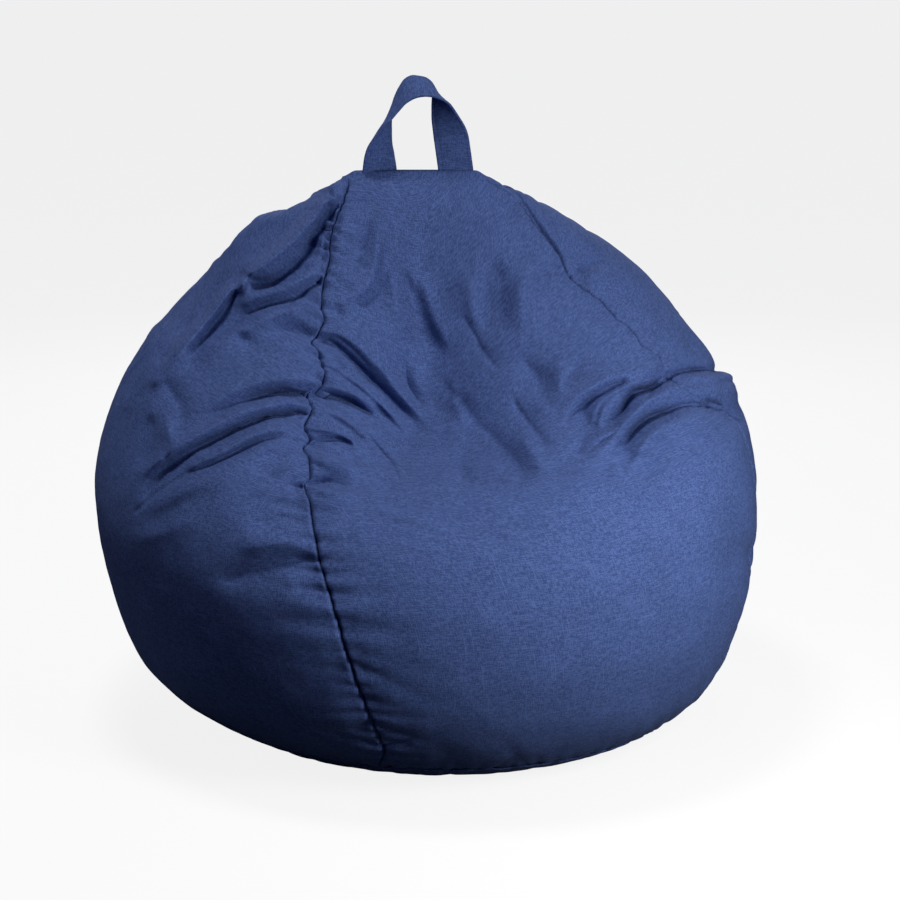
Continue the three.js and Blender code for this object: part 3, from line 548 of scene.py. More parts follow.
# Name, turn to the right of the camera, height angle, distance, size, power
LIGHTS = [
    ("front light", 36, 20, 1.7, 0.6, 11.5),
    ("side light", 50, 5, 1.7, 0.6, 7.5),
    ("top light", -70, 80, 3.5, 0.9, 54),
    ("left light", -90, 25, 3.5, 0.9, 9),
    ("back light", 180, 28, 3.5, 2.0, 30),
]
LIGHT_AIM = Vector((0, 0, 0.5))
# In metres, with the elevation in degrees
CAMERA_TARGET = Vector((0.041, 0, 0.478))
CAMERA_ELEVATION = 14
CAMERA_DISTANCE = 3.8
FRAME_WIDTH = 1.624
SENSOR_WIDTH = 36


def smooth_step(low, high, value):
    """0 below the low limit and 1 above the high one, with a soft rise between."""
    t = np.clip((value - low) / (high - low), 0, 1)
    return t * t * (3 - 2 * t)


def steep_fall(distance, width):
    """1 on a line, falling off steeply to each side of it."""
    return np.exp(-(distance / width) ** 1.5)


def unit(vectors):
    """The vectors at length 1."""
    return vectors / np.maximum(np.linalg.norm(vectors, axis=-1, keepdims=True), 1e-9)


def lengths_along(points, axis):
    """Length run so far at each point of a line or grid, along one of its directions."""
    steps = np.linalg.norm(np.diff(points, axis=axis), axis=-1)
    start = np.zeros_like(np.take(steps, [0], axis=axis))
    return np.cumsum(np.concatenate([start, steps], axis=axis), axis=axis)


def with_end_rows(rows):
    """The rows with one more at each end, straight on from the last two."""
    rows = np.array(rows, float)
    return np.concatenate([[2 * rows[0] - rows[1]], rows, [2 * rows[-1] - rows[-2]]])


def soft_curve(a, b, c, d, t):
    """Point at share t of the way from b to c on a soft curve that also passes a before them and d after."""
    return 0.5 * (2 * b + (c - a) * t + (2 * a - 5 * b + 4 * c - d) * t * t + (3 * b - a - 3 * c + d) * t ** 3)


def soft_noise(points, size, seed):
    """Smooth random heights between about -1 and 1, with bumps about `size` millimetres apart."""
    count = 24
    origin = 100.37
    cells = np.random.default_rng(seed).uniform(-1, 1, (count, count, count))
    place = points / np.asarray(size, float) + origin
    corner = np.floor(place).astype(int)
    f = place - corner
    f = f * f * (3 - 2 * f)
    total = np.zeros(points.shape[:-1])
    for step in np.ndindex(2, 2, 2):
        i, j, k = step
        weight = np.abs(1 - i - f[..., 0]) * np.abs(1 - j - f[..., 1]) * np.abs(1 - k - f[..., 2])
        x, y, z = np.moveaxis((corner + step) % count, -1, 0)
        total += weight * cells[x, y, z]
    return total


def noise_sum(points, layers):
    """Several soft noises on top of each other, each given as size, height and seed."""
    return sum(height * soft_noise(points, size, seed) for size, height, seed in layers)


CENTRE_X, CENTRE_Y, SQUASH, OUT, UP = [with_end_rows(column) for column in list(zip(*LEVELS))[1:]]


def blend_weights(f):
    """Shares of four neighbouring rows in a smooth surface, at f of the way from the second to the third."""
    return np.stack([(1 - f) ** 3, 3 * f ** 3 - 6 * f ** 2 + 4, -3 * f ** 3 + 3 * f ** 2 + 3 * f + 1, f ** 3], -1) / 6


def surface(level, turn):
    """Points of the smooth bag for levels of the table and turns from the front to the right."""
    level, turn = np.broadcast_arrays(np.asarray(level, float), np.asarray(turn, float))
    row = np.clip(np.floor(level).astype(int), 0, TOP_LEVEL - 1)
    rise = blend_weights(level - row)
    rows = row[..., None] + np.arange(4)
    compass = np.mod(turn / 45, 8)
    column = np.floor(compass).astype(int)
    columns = np.mod(column[..., None] + np.arange(-1, 3), 8)
    weights = rise[..., :, None] * blend_weights(compass - column)[..., None, :]
    out = (OUT[rows[..., :, None], columns[..., None, :]] * weights).sum((-1, -2))
    up = (UP[rows[..., :, None], columns[..., None, :]] * weights).sum((-1, -2))
    x = (CENTRE_X[rows] * rise).sum(-1)
    y = (CENTRE_Y[rows] * rise).sum(-1)
    squash = (SQUASH[rows] * rise).sum(-1)
    angle = np.radians(turn)
    return np.stack([x + out * np.sin(angle), y - out * np.cos(angle) * squash, up], -1)


def surface_normals(level, turn):
    """Outward normals of the smooth bag, from points a small step to each side."""
    level_step, turn_step = 0.03, 0.5
    lower = np.maximum(np.asarray(level, float) - level_step, 0)
    upper = np.minimum(np.asarray(level, float) + level_step, TOP_LEVEL)
    along = surface(level, turn + turn_step) - surface(level, turn - turn_step)
    return unit(np.cross(along, surface(upper, turn) - surface(lower, turn)))


def grid_normals(points):
    """Outward normals of a grid whose rows go up and whose columns go round to the right."""
    return unit(np.cross(np.gradient(points, axis=1), np.gradient(points, axis=0)))


def above_base(levels, reach):
    """0 at the base seam, 1 from so many levels above it."""
    return smooth_step(BASE_LEVEL, BASE_LEVEL + reach, levels)


def near_ridge(levels, reach):
    """1 at the ridge, 0 from so many levels below it."""
    return smooth_step(TOP_LEVEL - reach, TOP_LEVEL, levels)


def free_share(levels):
    """How free the cloth is to fold between the base seam and the ridge."""
    return above_base(levels, BASE_HOLD) * (1 - near_ridge(levels, RIDGE_HOLD))


def seen(points, eye, across=0, depth=1):
    """Where sight lines from the eye to the points cross the upright plane through the bag's middle."""
    share = eye[depth] / (eye[depth] - points[..., depth])
    return np.stack([eye[axis] + (points[..., axis] - eye[axis]) * share for axis in (across, 2)], -1)


def seam_turn(index, level):
    """Turn at which each level crosses a seam, found by halving the range between its two limits."""
    course, start, end, base, ridge = SEAMS[index]
    level = np.asarray(level, float)
    if course is None:
        rise = np.clip((level - BASE_LEVEL) / (TOP_LEVEL - BASE_LEVEL), 0, 1)
        return base + (ridge - base) * smooth_step(0, 1, rise)
    course = np.array(course[::-1], float)
    low = np.full(level.shape, float(start))
    high = np.full(level.shape, float(end))
    for _ in range(SEAM_HALVINGS):
        middle = (low + high) / 2
        at = seen(surface(level, middle), FRONT_EYE)
        over = at[..., 0] > np.interp(at[..., 1], course[:, 1], course[:, 0])
        high = np.where(over, middle, high)
        low = np.where(over, low, middle)
    found = (low + high) / 2
    settled = base + (found - base) * above_base(level, SEAM_FROM_BASE)
    return settled + (ridge - settled) * near_ridge(level, SEAM_TO_RIDGE)


def smooth_course(course):
    """The course with three points added on a soft curve between each two of its own."""
    points = with_end_rows(course)
    curve = [soft_curve(*four, t) for four in zip(points, points[1:], points[2:], points[3:])
             for t in (0, 0.25, 0.5, 0.75)]
    return np.array(curve + [points[-2]])


def resampled(course, spacing):
    """Points at an even spacing along the smoothed course, with the share of its length at each."""
    points = smooth_course(course)
    run = lengths_along(points, 0)
    share = np.linspace(0, 1, max(int(run[-1] / spacing), 2))
    return np.stack([np.interp(share * run[-1], run, points[:, axis]) for axis in (0, 1)], -1), share


def heights_along(heights, share):
    """Height of a fold's line at shares of its length, with loose ends faded out."""
    along = np.interp(share, np.linspace(0, 1, len(heights)), heights)
    along = HEIGHT_SCALE * np.sign(along) * np.abs(along) ** HEIGHT_POWER
    if abs(heights[0]) <= LOOSE_END:
        along = along * smooth_step(*LOOSE_FADE, share)
    if abs(heights[-1]) <= LOOSE_END:
        along = along * smooth_step(*LOOSE_FADE, 1 - share)
    return along


def relaxed_field(lines):
    """Heights over a view's plane of cloth that is held at its lines and relaxes towards the bag away from them."""
    field = None
    for coarseness in FIELD_COARSENESS:
        cell = FIELD_CELL * coarseness
        rows = int(round((FIELD_TOP - FIELD_FLOOR) / cell)) + 1
        columns = int(round(2 * FIELD_ACROSS / cell)) + 1
        total = np.zeros((rows, columns))
        count = np.zeros((rows, columns))
        for _, heights, course in lines:
            points, share = resampled(course, cell / 2)
            row = np.round((points[:, 1] - FIELD_FLOOR) / cell).astype(int)
            column = np.round((points[:, 0] + FIELD_ACROSS) / cell).astype(int)
            np.add.at(total, (row, column), heights_along(heights, share))
            np.add.at(count, (row, column), 1)
        held = count > 0
        fixed = total[held] / count[held]
        if field is None:
            field = np.zeros((rows, columns))
        else:
            across, upward = np.arange(columns) / 2, np.arange(rows) / 2
            field = np.stack([np.interp(across, np.arange(field.shape[1]), line) for line in field])
            field = np.stack([np.interp(upward, np.arange(field.shape[0]), line) for line in field.T]).T
        for _ in range(FIELD_ROUNDS):
            field[held] = fixed
            around = field[:-2, 1:-1] + field[2:, 1:-1] + field[1:-1, :-2] + field[1:-1, 2:]
            field[1:-1, 1:-1] = around / (4 + (cell / SLACK) ** 2)
        field[held] = fixed
    for _ in range(int(2 * (CREST_ROUND / FIELD_CELL) ** 2)):
        field[1:-1] = (field[:-2] + 2 * field[1:-1] + field[2:]) / 4
        field[:, 1:-1] = (field[:, :-2] + 2 * field[:, 1:-1] + field[:, 2:]) / 4
    return field


def field_at(field, at):
    """Heights of a relaxed field at places on its view's plane."""
    up = np.clip((at[..., 1] - FIELD_FLOOR) / FIELD_CELL, 0, field.shape[0] - 1.001)
    over = np.clip((at[..., 0] + FIELD_ACROSS) / FIELD_CELL, 0, field.shape[1] - 1.001)
    row, column = up.astype(int), over.astype(int)
    up, over = up - row, over - column
    low = field[row, column] * (1 - over) + field[row, column + 1] * over
    high = field[row + 1, column] * (1 - over) + field[row + 1, column + 1] * over
    return low * (1 - up) + high * up


def crease_depth(at, crease):
    """How deep one crease cuts at places on the view's plane: steep to its line, and straight along it."""
    _, depths, width, course = crease
    points = smooth_course(course)
    reach = CREASE_REACH * width
    near = np.all((at > points.min(0) - reach) & (at < points.max(0) + reach), axis=-1)
    depth = np.zeros(at.shape[:-1])
    if not near.any():
        return depth
    place = at[near]
    best = np.full(len(place), 1e9)
    share = np.zeros(len(place))
    steps = np.diff(points, axis=0)
    lengths = np.linalg.norm(steps, axis=1)
    before = lengths_along(points, 0)
    for a, step, length, start in zip(points, steps, lengths, before):
        t = np.clip(((place - a) @ step) / length ** 2, 0, 1)
        distance = np.linalg.norm(place - a - t[:, None] * step, axis=1)
        share = np.where(distance < best, (start + t * length) / before[-1], share)
        best = np.minimum(best, distance)
    along = np.interp(share, np.linspace(0, 1, len(depths)), depths)
    depth[near] = CREASE_SCALE * along * steep_fall(best, width)
    return depth


FIELDS = {(view, panel): relaxed_field(lines)
          for view, (_, _, _, folds) in VIEWS.items() for panel, lines in folds.items()}


def folds_on(points, normals, panel, levels):
    """How far all folds of a panel move the cloth: along the sight line they are laid out on, so each stays put."""
    total = np.zeros(points.shape)
    for view, (eye, across, depth, folds) in VIEWS.items():
        if panel not in folds:
            continue
        sight = unit(eye - points)
        towards_eye = (sight * normals).sum(-1)
        at = seen(points, eye, across, depth)
        facing = smooth_step(*FACING, towards_eye)
        way = sight / np.maximum(towards_eye, FACING_LIMIT)[..., None]
        height = field_at(FIELDS[view, panel], at)
        if view == "front":
            near_rim = smooth_step(*FACING_AT_RIM, towards_eye)
            for rim_across, rim_height, reach in RIM_PLACES:
                near = np.exp(-(np.hypot(at[..., 0] - rim_across, at[..., 1] - rim_height) / reach) ** 4)
                facing = facing + (near_rim - facing) * near
                turned = (near * (1 - smooth_step(*RIM_TURN, towards_eye)))[..., None]
                way = way + (normals - way) * turned
            behind = smooth_step(*TURNED_AWAY, -towards_eye)
            for crease in CREASES[panel]:
                height = height - crease_depth(at, crease)
        else:
            facing = facing * behind
        total += way * (height * facing)[..., None]
    return total * (free_share(levels) * np.ones(points.shape[:-1]))[..., None]


def seam_line(index, levels):
    """The line where two panels meet: midway between their folds, and down in the groove that the thread pulls."""
    turns = seam_turn(index, levels)
    points = surface(levels, turns)
    normals = surface_normals(levels, turns)
    moved = sum(folds_on(points, normals, PANELS[side], levels) for side in (index - 1, index)) / 2
    at_ridge = SEAM_AT_RIDGE + (1 - SEAM_AT_RIDGE) * (1 - near_ridge(levels, RIDGE_HOLD))
    at_base = SEAM_AT_BASE + (1 - SEAM_AT_BASE) * above_base(levels, BASE_HOLD)
    return points + moved, -normals * (SEAM_DEPTH * at_ridge * at_base)[:, None]


def seam_puckers(along, distance, seed):
    """Little valleys that leave a seam at right angles, each with its own place, slant, depth and reach."""
    rng = np.random.default_rng(seed)
    total = np.zeros(np.broadcast_shapes(along.shape, distance.shape))
    place = rng.uniform(0, PUCKER_PITCH)
    while place < along.max():
        depth = PUCKER_DEPTH * rng.uniform(*PUCKER_DEPTHS)
        reach = PUCKER_REACH * rng.uniform(*PUCKER_REACHES)
        width = rng.uniform(*PUCKER_WIDTHS)
        slant = rng.normal(0, PUCKER_SLANT)
        off = np.abs(along - place - slant * distance)
        shape = steep_fall(off, width * (1 + distance / PUCKER_WIDENING))
        total -= depth * shape * np.exp(-distance / reach)
        place += PUCKER_PITCH * rng.uniform(*PUCKER_STEPS)
    return total


def add_body(name, rings, threads):
    """A closed body from rows of points that are rings, with a cap on the first and on the last of them.

    `threads` gives each point's place along the two threads of its cloth, in metres.
    """
    rows, columns = rings.shape[:2]
    number = np.arange(rows * columns).reshape(rows, columns)
    after = np.roll(number, -1, axis=1)
    quads = np.stack([number[:-1], after[:-1], after[1:], number[1:]], -1).reshape(-1, 4).tolist()
    faces = quads + [number[0, ::-1].tolist(), number[-1].tolist()]
    mesh = bpy.data.meshes.new(name)
    mesh.from_pydata((rings.reshape(-1, 3) * MM).tolist(), [], faces)
    layer = mesh.uv_layers.new(name="thread")
    corner = np.empty(len(mesh.loops), dtype=np.int32)
    mesh.loops.foreach_get("vertex_index", corner)
    layer.data.foreach_set("uv", threads.reshape(-1, 2)[corner].astype(np.float32).ravel())
    mesh.validate()
    mesh.polygons.foreach_set("use_smooth", [True] * len(mesh.polygons))
    mesh.update()
    piece = bpy.data.objects.new(name, mesh)
    bpy.context.collection.objects.link(piece)
    return piece


def column_shares(panel):
    """Shares across a panel: close together at its two seams, and at even or slightly drawn steps between."""
    edge = np.array(SEAM_COLUMNS) / PANEL_WIDTH[panel]
    even = np.linspace(0, 1, PANEL_COLUMNS[panel] - 2 * len(SEAM_COLUMNS) + 2)
    twice = SIDE_DRAW[panel] * np.sin(4 * math.pi * even) / (4 * math.pi)
    once = SIDE_DRAW[panel] * np.sin(2 * math.pi * even) / (2 * math.pi)
    inner = edge[-1] + (1 - 2 * edge[-1]) * (even + twice - once)
    return np.concatenate([edge[:-1], inner, (1 - edge[:-1])[::-1]])


def fine_relief(index, smooth, levels, from_start, from_end, from_base):
    """Heights of what is too small to be laid out, and the puckers and sags along a panel's edges."""
    relief = noise_sum(smooth, SOFT_BUMPS)
    loose = TIGHT_SHARE + (1 - TIGHT_SHARE) * smooth_step(*LOOSE_LEVELS, levels)
    bent = smooth + BEND * np.stack([soft_noise(smooth, BEND_SIZE, seed) for seed in BEND_SEEDS], -1)
    for size, height, seed in SMALL_FOLDS:
        relief += loose * height * (SMALL_FOLD_LIFT - np.abs(soft_noise(bent, size, seed)))
    relief *= smooth_step(0, BUMPS_FROM_BASE, from_base) * (1 - near_ridge(levels, RIDGE_HOLD))
    relief += seam_puckers(from_start, from_base, PANEL_SEED + index)
    for distance in (from_start, from_end):
        relief -= SEAM_SAG * np.exp(-(distance / SEAM_SAG_WIDTH) ** 2)
    return relief - BASE_PINCH * np.exp(-from_base / BASE_PINCH_WIDTH)


def thread_places(smooth):
    """Where each point of a panel lies along its two threads, measured from its middle column and its foot."""
    step = np.diff(smooth, axis=1)
    upward = unit(np.gradient(smooth, axis=0))[:, 1:]
    level_step = np.linalg.norm(step - (step * upward).sum(-1, keepdims=True) * upward, axis=-1)
    across = np.concatenate([np.zeros((len(level_step), 1)), np.cumsum(level_step, axis=1)], axis=1)
    half_way = smooth.shape[1] // 2
    across = across - across[:, half_way:half_way + 1]
    across = np.concatenate([across, np.repeat(across[-1:], len(RIDGE_ROWS), 0)])
    up = lengths_along(smooth, 0)
    over_ridge = np.arange(1, len(RIDGE_ROWS) + 1)[:, None] * RIDGE_ROW_STEP
    up = np.concatenate([up, up[-1:] + over_ridge])
    threads = np.stack([across, up], -1) * MM
    return np.concatenate([threads[:, :1], threads, threads[:, -1:], threads[:, half_way:half_way + 1]], axis=1)


def make_panel(index):
    """One tapering panel with its folds, drawn into the seam on each side and rolled over the ridge."""
    panel = PANELS[index]
    following = (index + 1) % len(PANELS)
    levels = np.interp(np.arange(PANEL_ROWS[panel][-1] + 1), PANEL_ROWS[panel], ROW_LEVELS)
    start = seam_turn(index, levels)
    end = seam_turn(following, levels) + (360 if following == 0 else 0)
    turns = start[:, None] + (end - start)[:, None] * column_shares(panel)[None, :]
    smooth = surface(levels[:, None], turns)
    normals = surface_normals(levels[:, None], turns)
    folded = smooth + folds_on(smooth, normals, panel, levels[:, None])

    from_start = lengths_along(folded, 1)
    from_end = from_start[:, -1:] - from_start
    from_base = lengths_along(folded, 0)
    relief = fine_relief(index, smooth, levels[:, None], from_start, from_end, from_base)
    skin = folded + normals * relief[..., None]
    for seam, column, distance in ((index, 0, from_start), (following, -1, from_end)):
        line, groove = seam_line(seam, levels)
        pull = line[:, None] - skin[:, column][:, None]
        skin = skin + pull * steep_fall(distance, SEAM_MEET)[..., None]
        skin = skin + groove[:, None] * np.exp(-distance / SEAM_ROUND)[..., None]
        puckers = SEAM_PUCKER[seam] * seam_puckers(lengths_along(line[:, None], 0), distance, SEAM_SEED + seam)
        skin = skin + normals * (puckers * free_share(levels)[:, None])[..., None]
    normals = grid_normals(skin)

    from_tip = RIDGE_HALF_WIDTH - np.abs(skin[-1, :, 0] - RIDGE_X)
    at_end = smooth_step(0, RIDGE_END, from_tip)[:, None]
    to_middle = (RIDGE_X, RIDGE_Y, RIDGE_HEIGHT) - skin[-1]
    over = [skin[-1] + to_middle * (RIDGE_DRAW * share, share, 0) + at_end * (0, 0, lift)
            for share, lift in RIDGE_ROWS]
    skin = np.concatenate([skin, over])
    normals = np.concatenate([normals, np.broadcast_to((0.0, 0.0, 1.0), (len(over),) + normals.shape[1:])])
    levels = np.concatenate([levels, [TOP_LEVEL] * len(over)])

    # The cloth turns in at both seams, and the wedge closes on the bag's middle line
    first = skin[:, :1] - normals[:, :1] * SEAM_ALLOWANCE
    last = skin[:, -1:] - normals[:, -1:] * SEAM_ALLOWANCE
    middle_x, middle_y = (np.interp(levels, range(TOP_LEVEL + 1), centre[1:-1]) for centre in (CENTRE_X, CENTRE_Y))
    spine = np.stack([middle_x, middle_y, skin.mean(1)[:, 2]], -1)[:, None]
    piece = add_body(panel, np.concatenate([first, skin, last, spine], axis=1), thread_places(smooth))
    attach(piece, "root")
    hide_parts("bag")
    return piece


def make_base_panel():
    """The round base: a shallow dish of cloth, pulled in little puckers where its rim meets the base seam."""
    levels = np.concatenate([np.linspace(0.02, FLOOR_LEVEL, BASE_FLAT_ROWS),
                             np.linspace(FLOOR_LEVEL + LEVEL_GAP, BASE_LEVEL - LEVEL_GAP, BASE_RIM_ROWS)])
    turns = np.linspace(0, 360, BASE_COLUMNS, endpoint=False)
    outside = surface(levels[:, None], turns[None])
    closed = np.concatenate([outside, outside[:, :1]], axis=1)
    normals = grid_normals(closed)[:, :-1]
    normals[:BASE_FLAT_ROWS] = (0, 0, -1)
    from_rim = lengths_along(outside, 0)
    from_rim = from_rim[-1:] - from_rim
    around = np.repeat(np.radians(turns)[None] * BASE_RADIUS, len(levels), 0)
    relief = seam_puckers(around, from_rim, BASE_SEED) * smooth_step(0, BASE_CLOTH, outside[..., 2])
    outside = outside + normals * relief[..., None]
    inside = (outside - normals * BASE_CLOTH)[::-1]
    rings = np.concatenate([outside, inside])
    piece = add_body("round_base_panel", rings, rings[..., :2] * MM)
    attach(piece, "root")
    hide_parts("base_panel")
    return piece


def strap_section():
    """Outline of the strap across its width: two flat faces joined by round edges."""
    half = STRAP_WIDTH / 2
    thick = STRAP_THICKNESS / 2
    flat = np.linspace(-half + thick, half - thick, STRAP_FLAT_POINTS)
    bend = np.linspace(-math.pi / 2, math.pi / 2, STRAP_BEND_POINTS + 2)[1:-1]
    section = [(w, -thick) for w in flat]
    section += [(half - thick + thick * math.cos(b), thick * math.sin(b)) for b in bend]
    section += [(w, thick) for w in flat[::-1]]
    section += [(-half + thick - thick * math.cos(b), -thick * math.sin(b)) for b in bend]
    return np.array(section)


def make_strap():
    """The strap stands up from the ridge seam, twists a quarter turn, and comes down again."""
    share = np.linspace(0, 1, STRAP_RINGS)
    place = share * (len(STRAP_STATIONS) - 1)
    row = np.clip(np.floor(place).astype(int), 0, len(STRAP_STATIONS) - 2)
    stations = with_end_rows(STRAP_STATIONS)
    edges = soft_curve(*(stations[row + step] for step in range(4)), (place - row)[:, None])
    front_x, front_z, rear_x, rear_z = edges.T
    side_x, side_z = (front_x - rear_x) / 2, (front_z - rear_z) / 2
    side_y = -np.sqrt(np.clip((STRAP_WIDTH / 2) ** 2 - side_x ** 2 - side_z ** 2, 0, None))
    middle = np.stack([(front_x + rear_x) / 2, np.full(len(share), STRAP_Y), (front_z + rear_z) / 2], -1)
    width = unit(np.stack([side_x, side_y, side_z], -1))
    face = unit(np.cross(unit(np.gradient(middle, axis=0)), width))

    across, through = strap_section().T
    flat = middle[:, None] + width[:, None] * across[None, :, None]
    points = flat + face[:, None] * through[None, :, None]
    wave = noise_sum(flat, STRAP_WAVES)
    wave = wave * smooth_step(0, STRAP_FOOT, share)[:, None] * (1 - smooth_step(1 - STRAP_FOOT, 1, share))[:, None]
    hem = np.exp(-((np.abs(across) - (STRAP_WIDTH / 2 - HEM_IN)) / HEM_HALF_WIDTH) ** 2)
    points = points + face[:, None] * (wave - np.sign(through) * HEM_DEPTH * hem)[..., None]
    run = lengths_along(middle, 0)
    threads = np.stack(np.broadcast_arrays(across[None, :], run[:, None]), -1) * MM
    piece = add_body("carrying_strap", points, threads)
    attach(piece, "root")
    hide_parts("handle")
    return piece


def connect(tree, value, socket):
    """Link an output to an input, or set the input to a plain value."""
    if isinstance(value, bpy.types.NodeSocket):
        tree.links.new(value, socket)
    else:
        socket.default_value = value


def math_node(tree, operation, a, b=None, clamp=False):
    node = tree.nodes.new("ShaderNodeMath")
    node.operation = operation
    node.use_clamp = clamp
    connect(tree, a, node.inputs[0])
    if b is not None:
        connect(tree, b, node.inputs[1])
    return node.outputs[0]


def mixed_colour(tree, share, a, b, blend="MIX"):
    node = tree.nodes.new("ShaderNodeMix")
    node.data_type = "RGBA"
    node.blend_type = blend
    connect(tree, share, node.inputs["Factor"])
    connect(tree, a, node.inputs["A"])
    connect(tree, b, node.inputs["B"])
    return node.outputs["Result"]


def stretched(tree, value, to, between=(0, 1)):
    """A value that runs between two limits, brought to run from the first of two others to the second."""
    node = tree.nodes.new("ShaderNodeMapRange")
    for name, limit in zip(("From Min", "From Max", "To Min", "To Max"), (*between, *to)):
        node.inputs[name].default_value = limit
    connect(tree, value, node.inputs["Value"])
    return node.outputs[0]


def noise_node(tree, place, scale, detail):
    node = tree.nodes.new("ShaderNodeTexNoise")
    node.inputs["Scale"].default_value = scale
    node.inputs["Detail"].default_value = detail
    connect(tree, place, node.inputs["Vector"])
    return node.outputs[0]


def slub_weave_group():
    """Plain weave of uneven yarn: a colour mask of short slubs along both threads, and a height for the bump."""
    grain_contrast, grain_middle = 2.2, 0.42
    thick_threads, thick_length, thick_rareness, thick_strength = 0.8, 7.0, 0.62, 4.0
    clouds_per_metre, cloud_detail = 9.0, 4.0
    rib_height = 0.25

    group = bpy.data.node_groups.new("slub weave", "ShaderNodeTree")
    for name, way, kind in (
            ("Thread place", "INPUT", "NodeSocketVector"), ("Threads per metre", "INPUT", "NodeSocketFloat"),
            ("Slub length", "INPUT", "NodeSocketFloat"), ("Slub mask", "OUTPUT", "NodeSocketFloat"),
            ("Cloud mask", "OUTPUT", "NodeSocketFloat"), ("Height", "OUTPUT", "NodeSocketFloat")):
        group.interface.new_socket(name=name, in_out=way, socket_type=kind)
    source = group.nodes.new("NodeGroupInput").outputs
    result = group.nodes.new("NodeGroupOutput").inputs
    split = group.nodes.new("ShaderNodeSeparateXYZ")
    connect(group, source["Thread place"], split.inputs[0])
    threads = source["Threads per metre"]

    def slubs(u_scale, v_scale, seed):
        place = group.nodes.new("ShaderNodeCombineXYZ")
        connect(group, math_node(group, "MULTIPLY", split.outputs[0], u_scale), place.inputs[0])
        connect(group, math_node(group, "MULTIPLY", split.outputs[1], v_scale), place.inputs[1])
        place.inputs[2].default_value = seed
        return noise_node(group, place.outputs[0], 1.0, 1.0)

    along = math_node(group, "DIVIDE", threads, source["Slub length"])
    both = math_node(group, "ADD", slubs(threads, along, 3.1), slubs(along, threads, 9.7))
    mask = math_node(group, "MULTIPLY", math_node(group, "SUBTRACT", both, 1.0), grain_contrast)
    coarse = math_node(group, "MULTIPLY", threads, thick_threads)
    long_way = math_node(group, "DIVIDE", coarse, math_node(group, "MULTIPLY", source["Slub length"], thick_length))
    for u_scale, v_scale, seed in ((coarse, long_way, 21.3), (long_way, coarse, 33.9)):
        thick = math_node(group, "SUBTRACT", slubs(u_scale, v_scale, seed), thick_rareness)
        thick = math_node(group, "MULTIPLY", thick, thick_strength, clamp=True)
        mask = math_node(group, "ADD", mask, thick)
    mask = math_node(group, "ADD", mask, grain_middle, clamp=True)
    connect(group, mask, result["Slub mask"])
    clouds = noise_node(group, source["Thread place"], clouds_per_metre, cloud_detail)
    connect(group, clouds, result["Cloud mask"])

    turn = math_node(group, "MULTIPLY", threads, 2 * math.pi)
    over = math_node(group, "SINE", math_node(group, "MULTIPLY", split.outputs[0], turn))
    under = math_node(group, "SINE", math_node(group, "MULTIPLY", split.outputs[1], turn))
    ribs = math_node(group, "MULTIPLY", math_node(group, "MULTIPLY", over, under), rib_height)
    connect(group, math_node(group, "ADD", ribs, mask), result["Height"])
    return group


def make_cloth(name, weave):
    """Matt navy cloth with a faint sheen, lighter and smoother on its slubs and a little cloudy all over."""
    cloth = bpy.data.materials.new(name)
    cloth.use_nodes = True
    tree = cloth.node_tree
    thread = tree.nodes.new("ShaderNodeUVMap")
    thread.uv_map = "thread"
    pattern = tree.nodes.new("ShaderNodeGroup")
    pattern.node_tree = weave
    connect(tree, thread.outputs[0], pattern.inputs["Thread place"])
    pattern.inputs["Threads per metre"].default_value = THREADS_PER_METRE
    pattern.inputs["Slub length"].default_value = SLUB_LENGTH
    slubs = pattern.outputs["Slub mask"]
    clouds = stretched(tree, pattern.outputs["Cloud mask"], CLOUD_SHADE, CLOUD_LIMITS)
    bump = tree.nodes.new("ShaderNodeBump")
    bump.inputs["Strength"].default_value = WEAVE_BUMP
    bump.inputs["Distance"].default_value = WEAVE_BUMP_HEIGHT
    connect(tree, pattern.outputs["Height"], bump.inputs["Height"])

    shader = tree.nodes["Principled BSDF"].inputs
    shader["Specular IOR Level"].default_value = 0.12
    shader["Sheen Weight"].default_value = 0.06
    shader["Sheen Roughness"].default_value = 0.5
    shader["Sheen Tint"].default_value = SHEEN_TINT
    yarn = mixed_colour(tree, slubs, DARK_YARN, LIGHT_YARN)
    connect(tree, mixed_colour(tree, 1.0, yarn, clouds, "MULTIPLY"), shader["Base Color"])
    connect(tree, stretched(tree, slubs, YARN_ROUGHNESS), shader["Roughness"])
    connect(tree, bump.outputs[0], shader["Normal"])
    return cloth


def make_floor():
    """A pale floor that the camera sees nearly white, and that throws little light back up under the bag."""
    mesh = bpy.data.meshes.new("floor")
    corners = [(x * FLOOR_HALF_WIDTH, y * FLOOR_HALF_WIDTH, 0) for x, y in ((-1, -1), (1, -1), (1, 1), (-1, 1))]
    mesh.from_pydata(corners, [], [(0, 1, 2, 3)])
    floor = bpy.data.objects.new("floor", mesh)
    bpy.context.collection.objects.link(floor)
    pale = bpy.data.materials.new("pale floor")
    pale.use_nodes = True
    tree = pale.node_tree
    by_camera = tree.nodes.new("ShaderNodeLightPath").outputs["Is Camera Ray"]
    shader = tree.nodes["Principled BSDF"].inputs
    shader["Roughness"].default_value = 1.0
    shader["Specular IOR Level"].default_value = 0.0
    shader["Emission Color"].default_value = WHITE
    connect(tree, mixed_colour(tree, by_camera, FLOOR_GREY, FLOOR_SEEN), shader["Base Color"])
    connect(tree, math_node(tree, "MULTIPLY", by_camera, FLOOR_GLOW), shader["Emission Strength"])
    mesh.materials.append(pale)


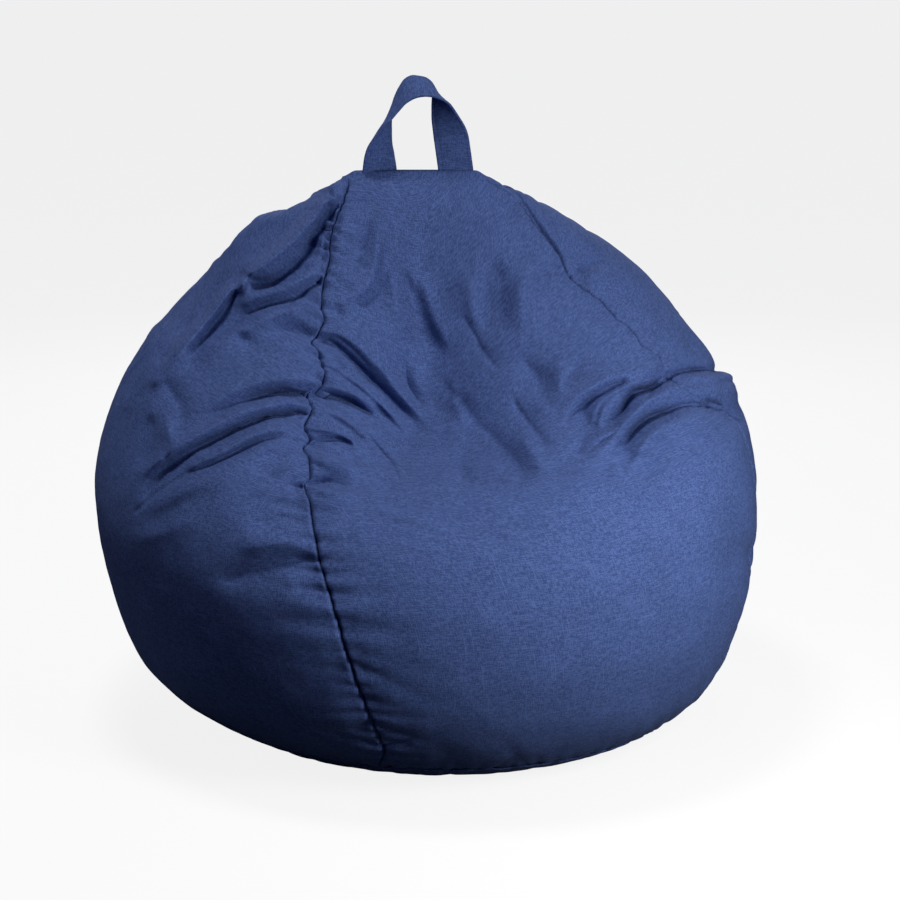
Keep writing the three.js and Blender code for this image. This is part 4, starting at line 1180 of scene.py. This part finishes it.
def make_room():
    """A white room for the camera that lights the bag only a little."""
    world = bpy.data.worlds.new("room")
    world.use_nodes = True
    tree = world.node_tree
    by_camera = tree.nodes.new("ShaderNodeLightPath").outputs["Is Camera Ray"]
    background = tree.nodes["Background"].inputs
    connect(tree, mixed_colour(tree, by_camera, ROOM_TINT, WHITE), background["Color"])
    connect(tree, stretched(tree, by_camera, (ROOM_LIGHT, ROOM_SEEN)), background["Strength"])
    bpy.context.scene.world = world


def make_light(name, turn, height, distance, size, power):
    """A round soft light, placed by angles about the bag and turned to its middle."""
    turn, height = math.radians(turn), math.radians(height)
    along = Vector((math.cos(height) * math.sin(turn), -math.cos(height) * math.cos(turn), math.sin(height)))
    data = bpy.data.lights.new(name, "AREA")
    data.shape = "DISK"
    data.size = size
    data.energy = power
    lamp = bpy.data.objects.new(name, data)
    lamp.location = LIGHT_AIM + along * distance
    lamp.rotation_euler = (LIGHT_AIM - lamp.location).to_track_quat("-Z", "Y").to_euler()
    lamp.visible_camera = False
    bpy.context.collection.objects.link(lamp)


def make_camera():
    """The camera of the photograph."""
    elevation = math.radians(CAMERA_ELEVATION)
    data = bpy.data.cameras.new("camera")
    data.sensor_width = SENSOR_WIDTH
    data.lens = SENSOR_WIDTH * CAMERA_DISTANCE / FRAME_WIDTH
    camera = bpy.data.objects.new("camera", data)
    camera.location = CAMERA_TARGET + Vector((0, -math.cos(elevation), math.sin(elevation))) * CAMERA_DISTANCE
    camera.rotation_euler = (CAMERA_TARGET - camera.location).to_track_quat("-Z", "Y").to_euler()
    bpy.context.collection.objects.link(camera)
    bpy.context.scene.camera = camera


make_camera()
weave = slub_weave_group()
panel_cloth = make_cloth("navy panel cloth", weave)
base_cloth = make_cloth("navy base cloth", weave)
strap_cloth = make_cloth("navy strap cloth", weave)
for index in range(len(PANELS)):
    make_panel(index).data.materials.append(panel_cloth)
make_base_panel().data.materials.append(base_cloth)
make_strap().data.materials.append(strap_cloth)
make_floor()
for light in LIGHTS:
    make_light(*light)
make_room()
bpy.context.scene.view_settings.view_transform = "Standard"
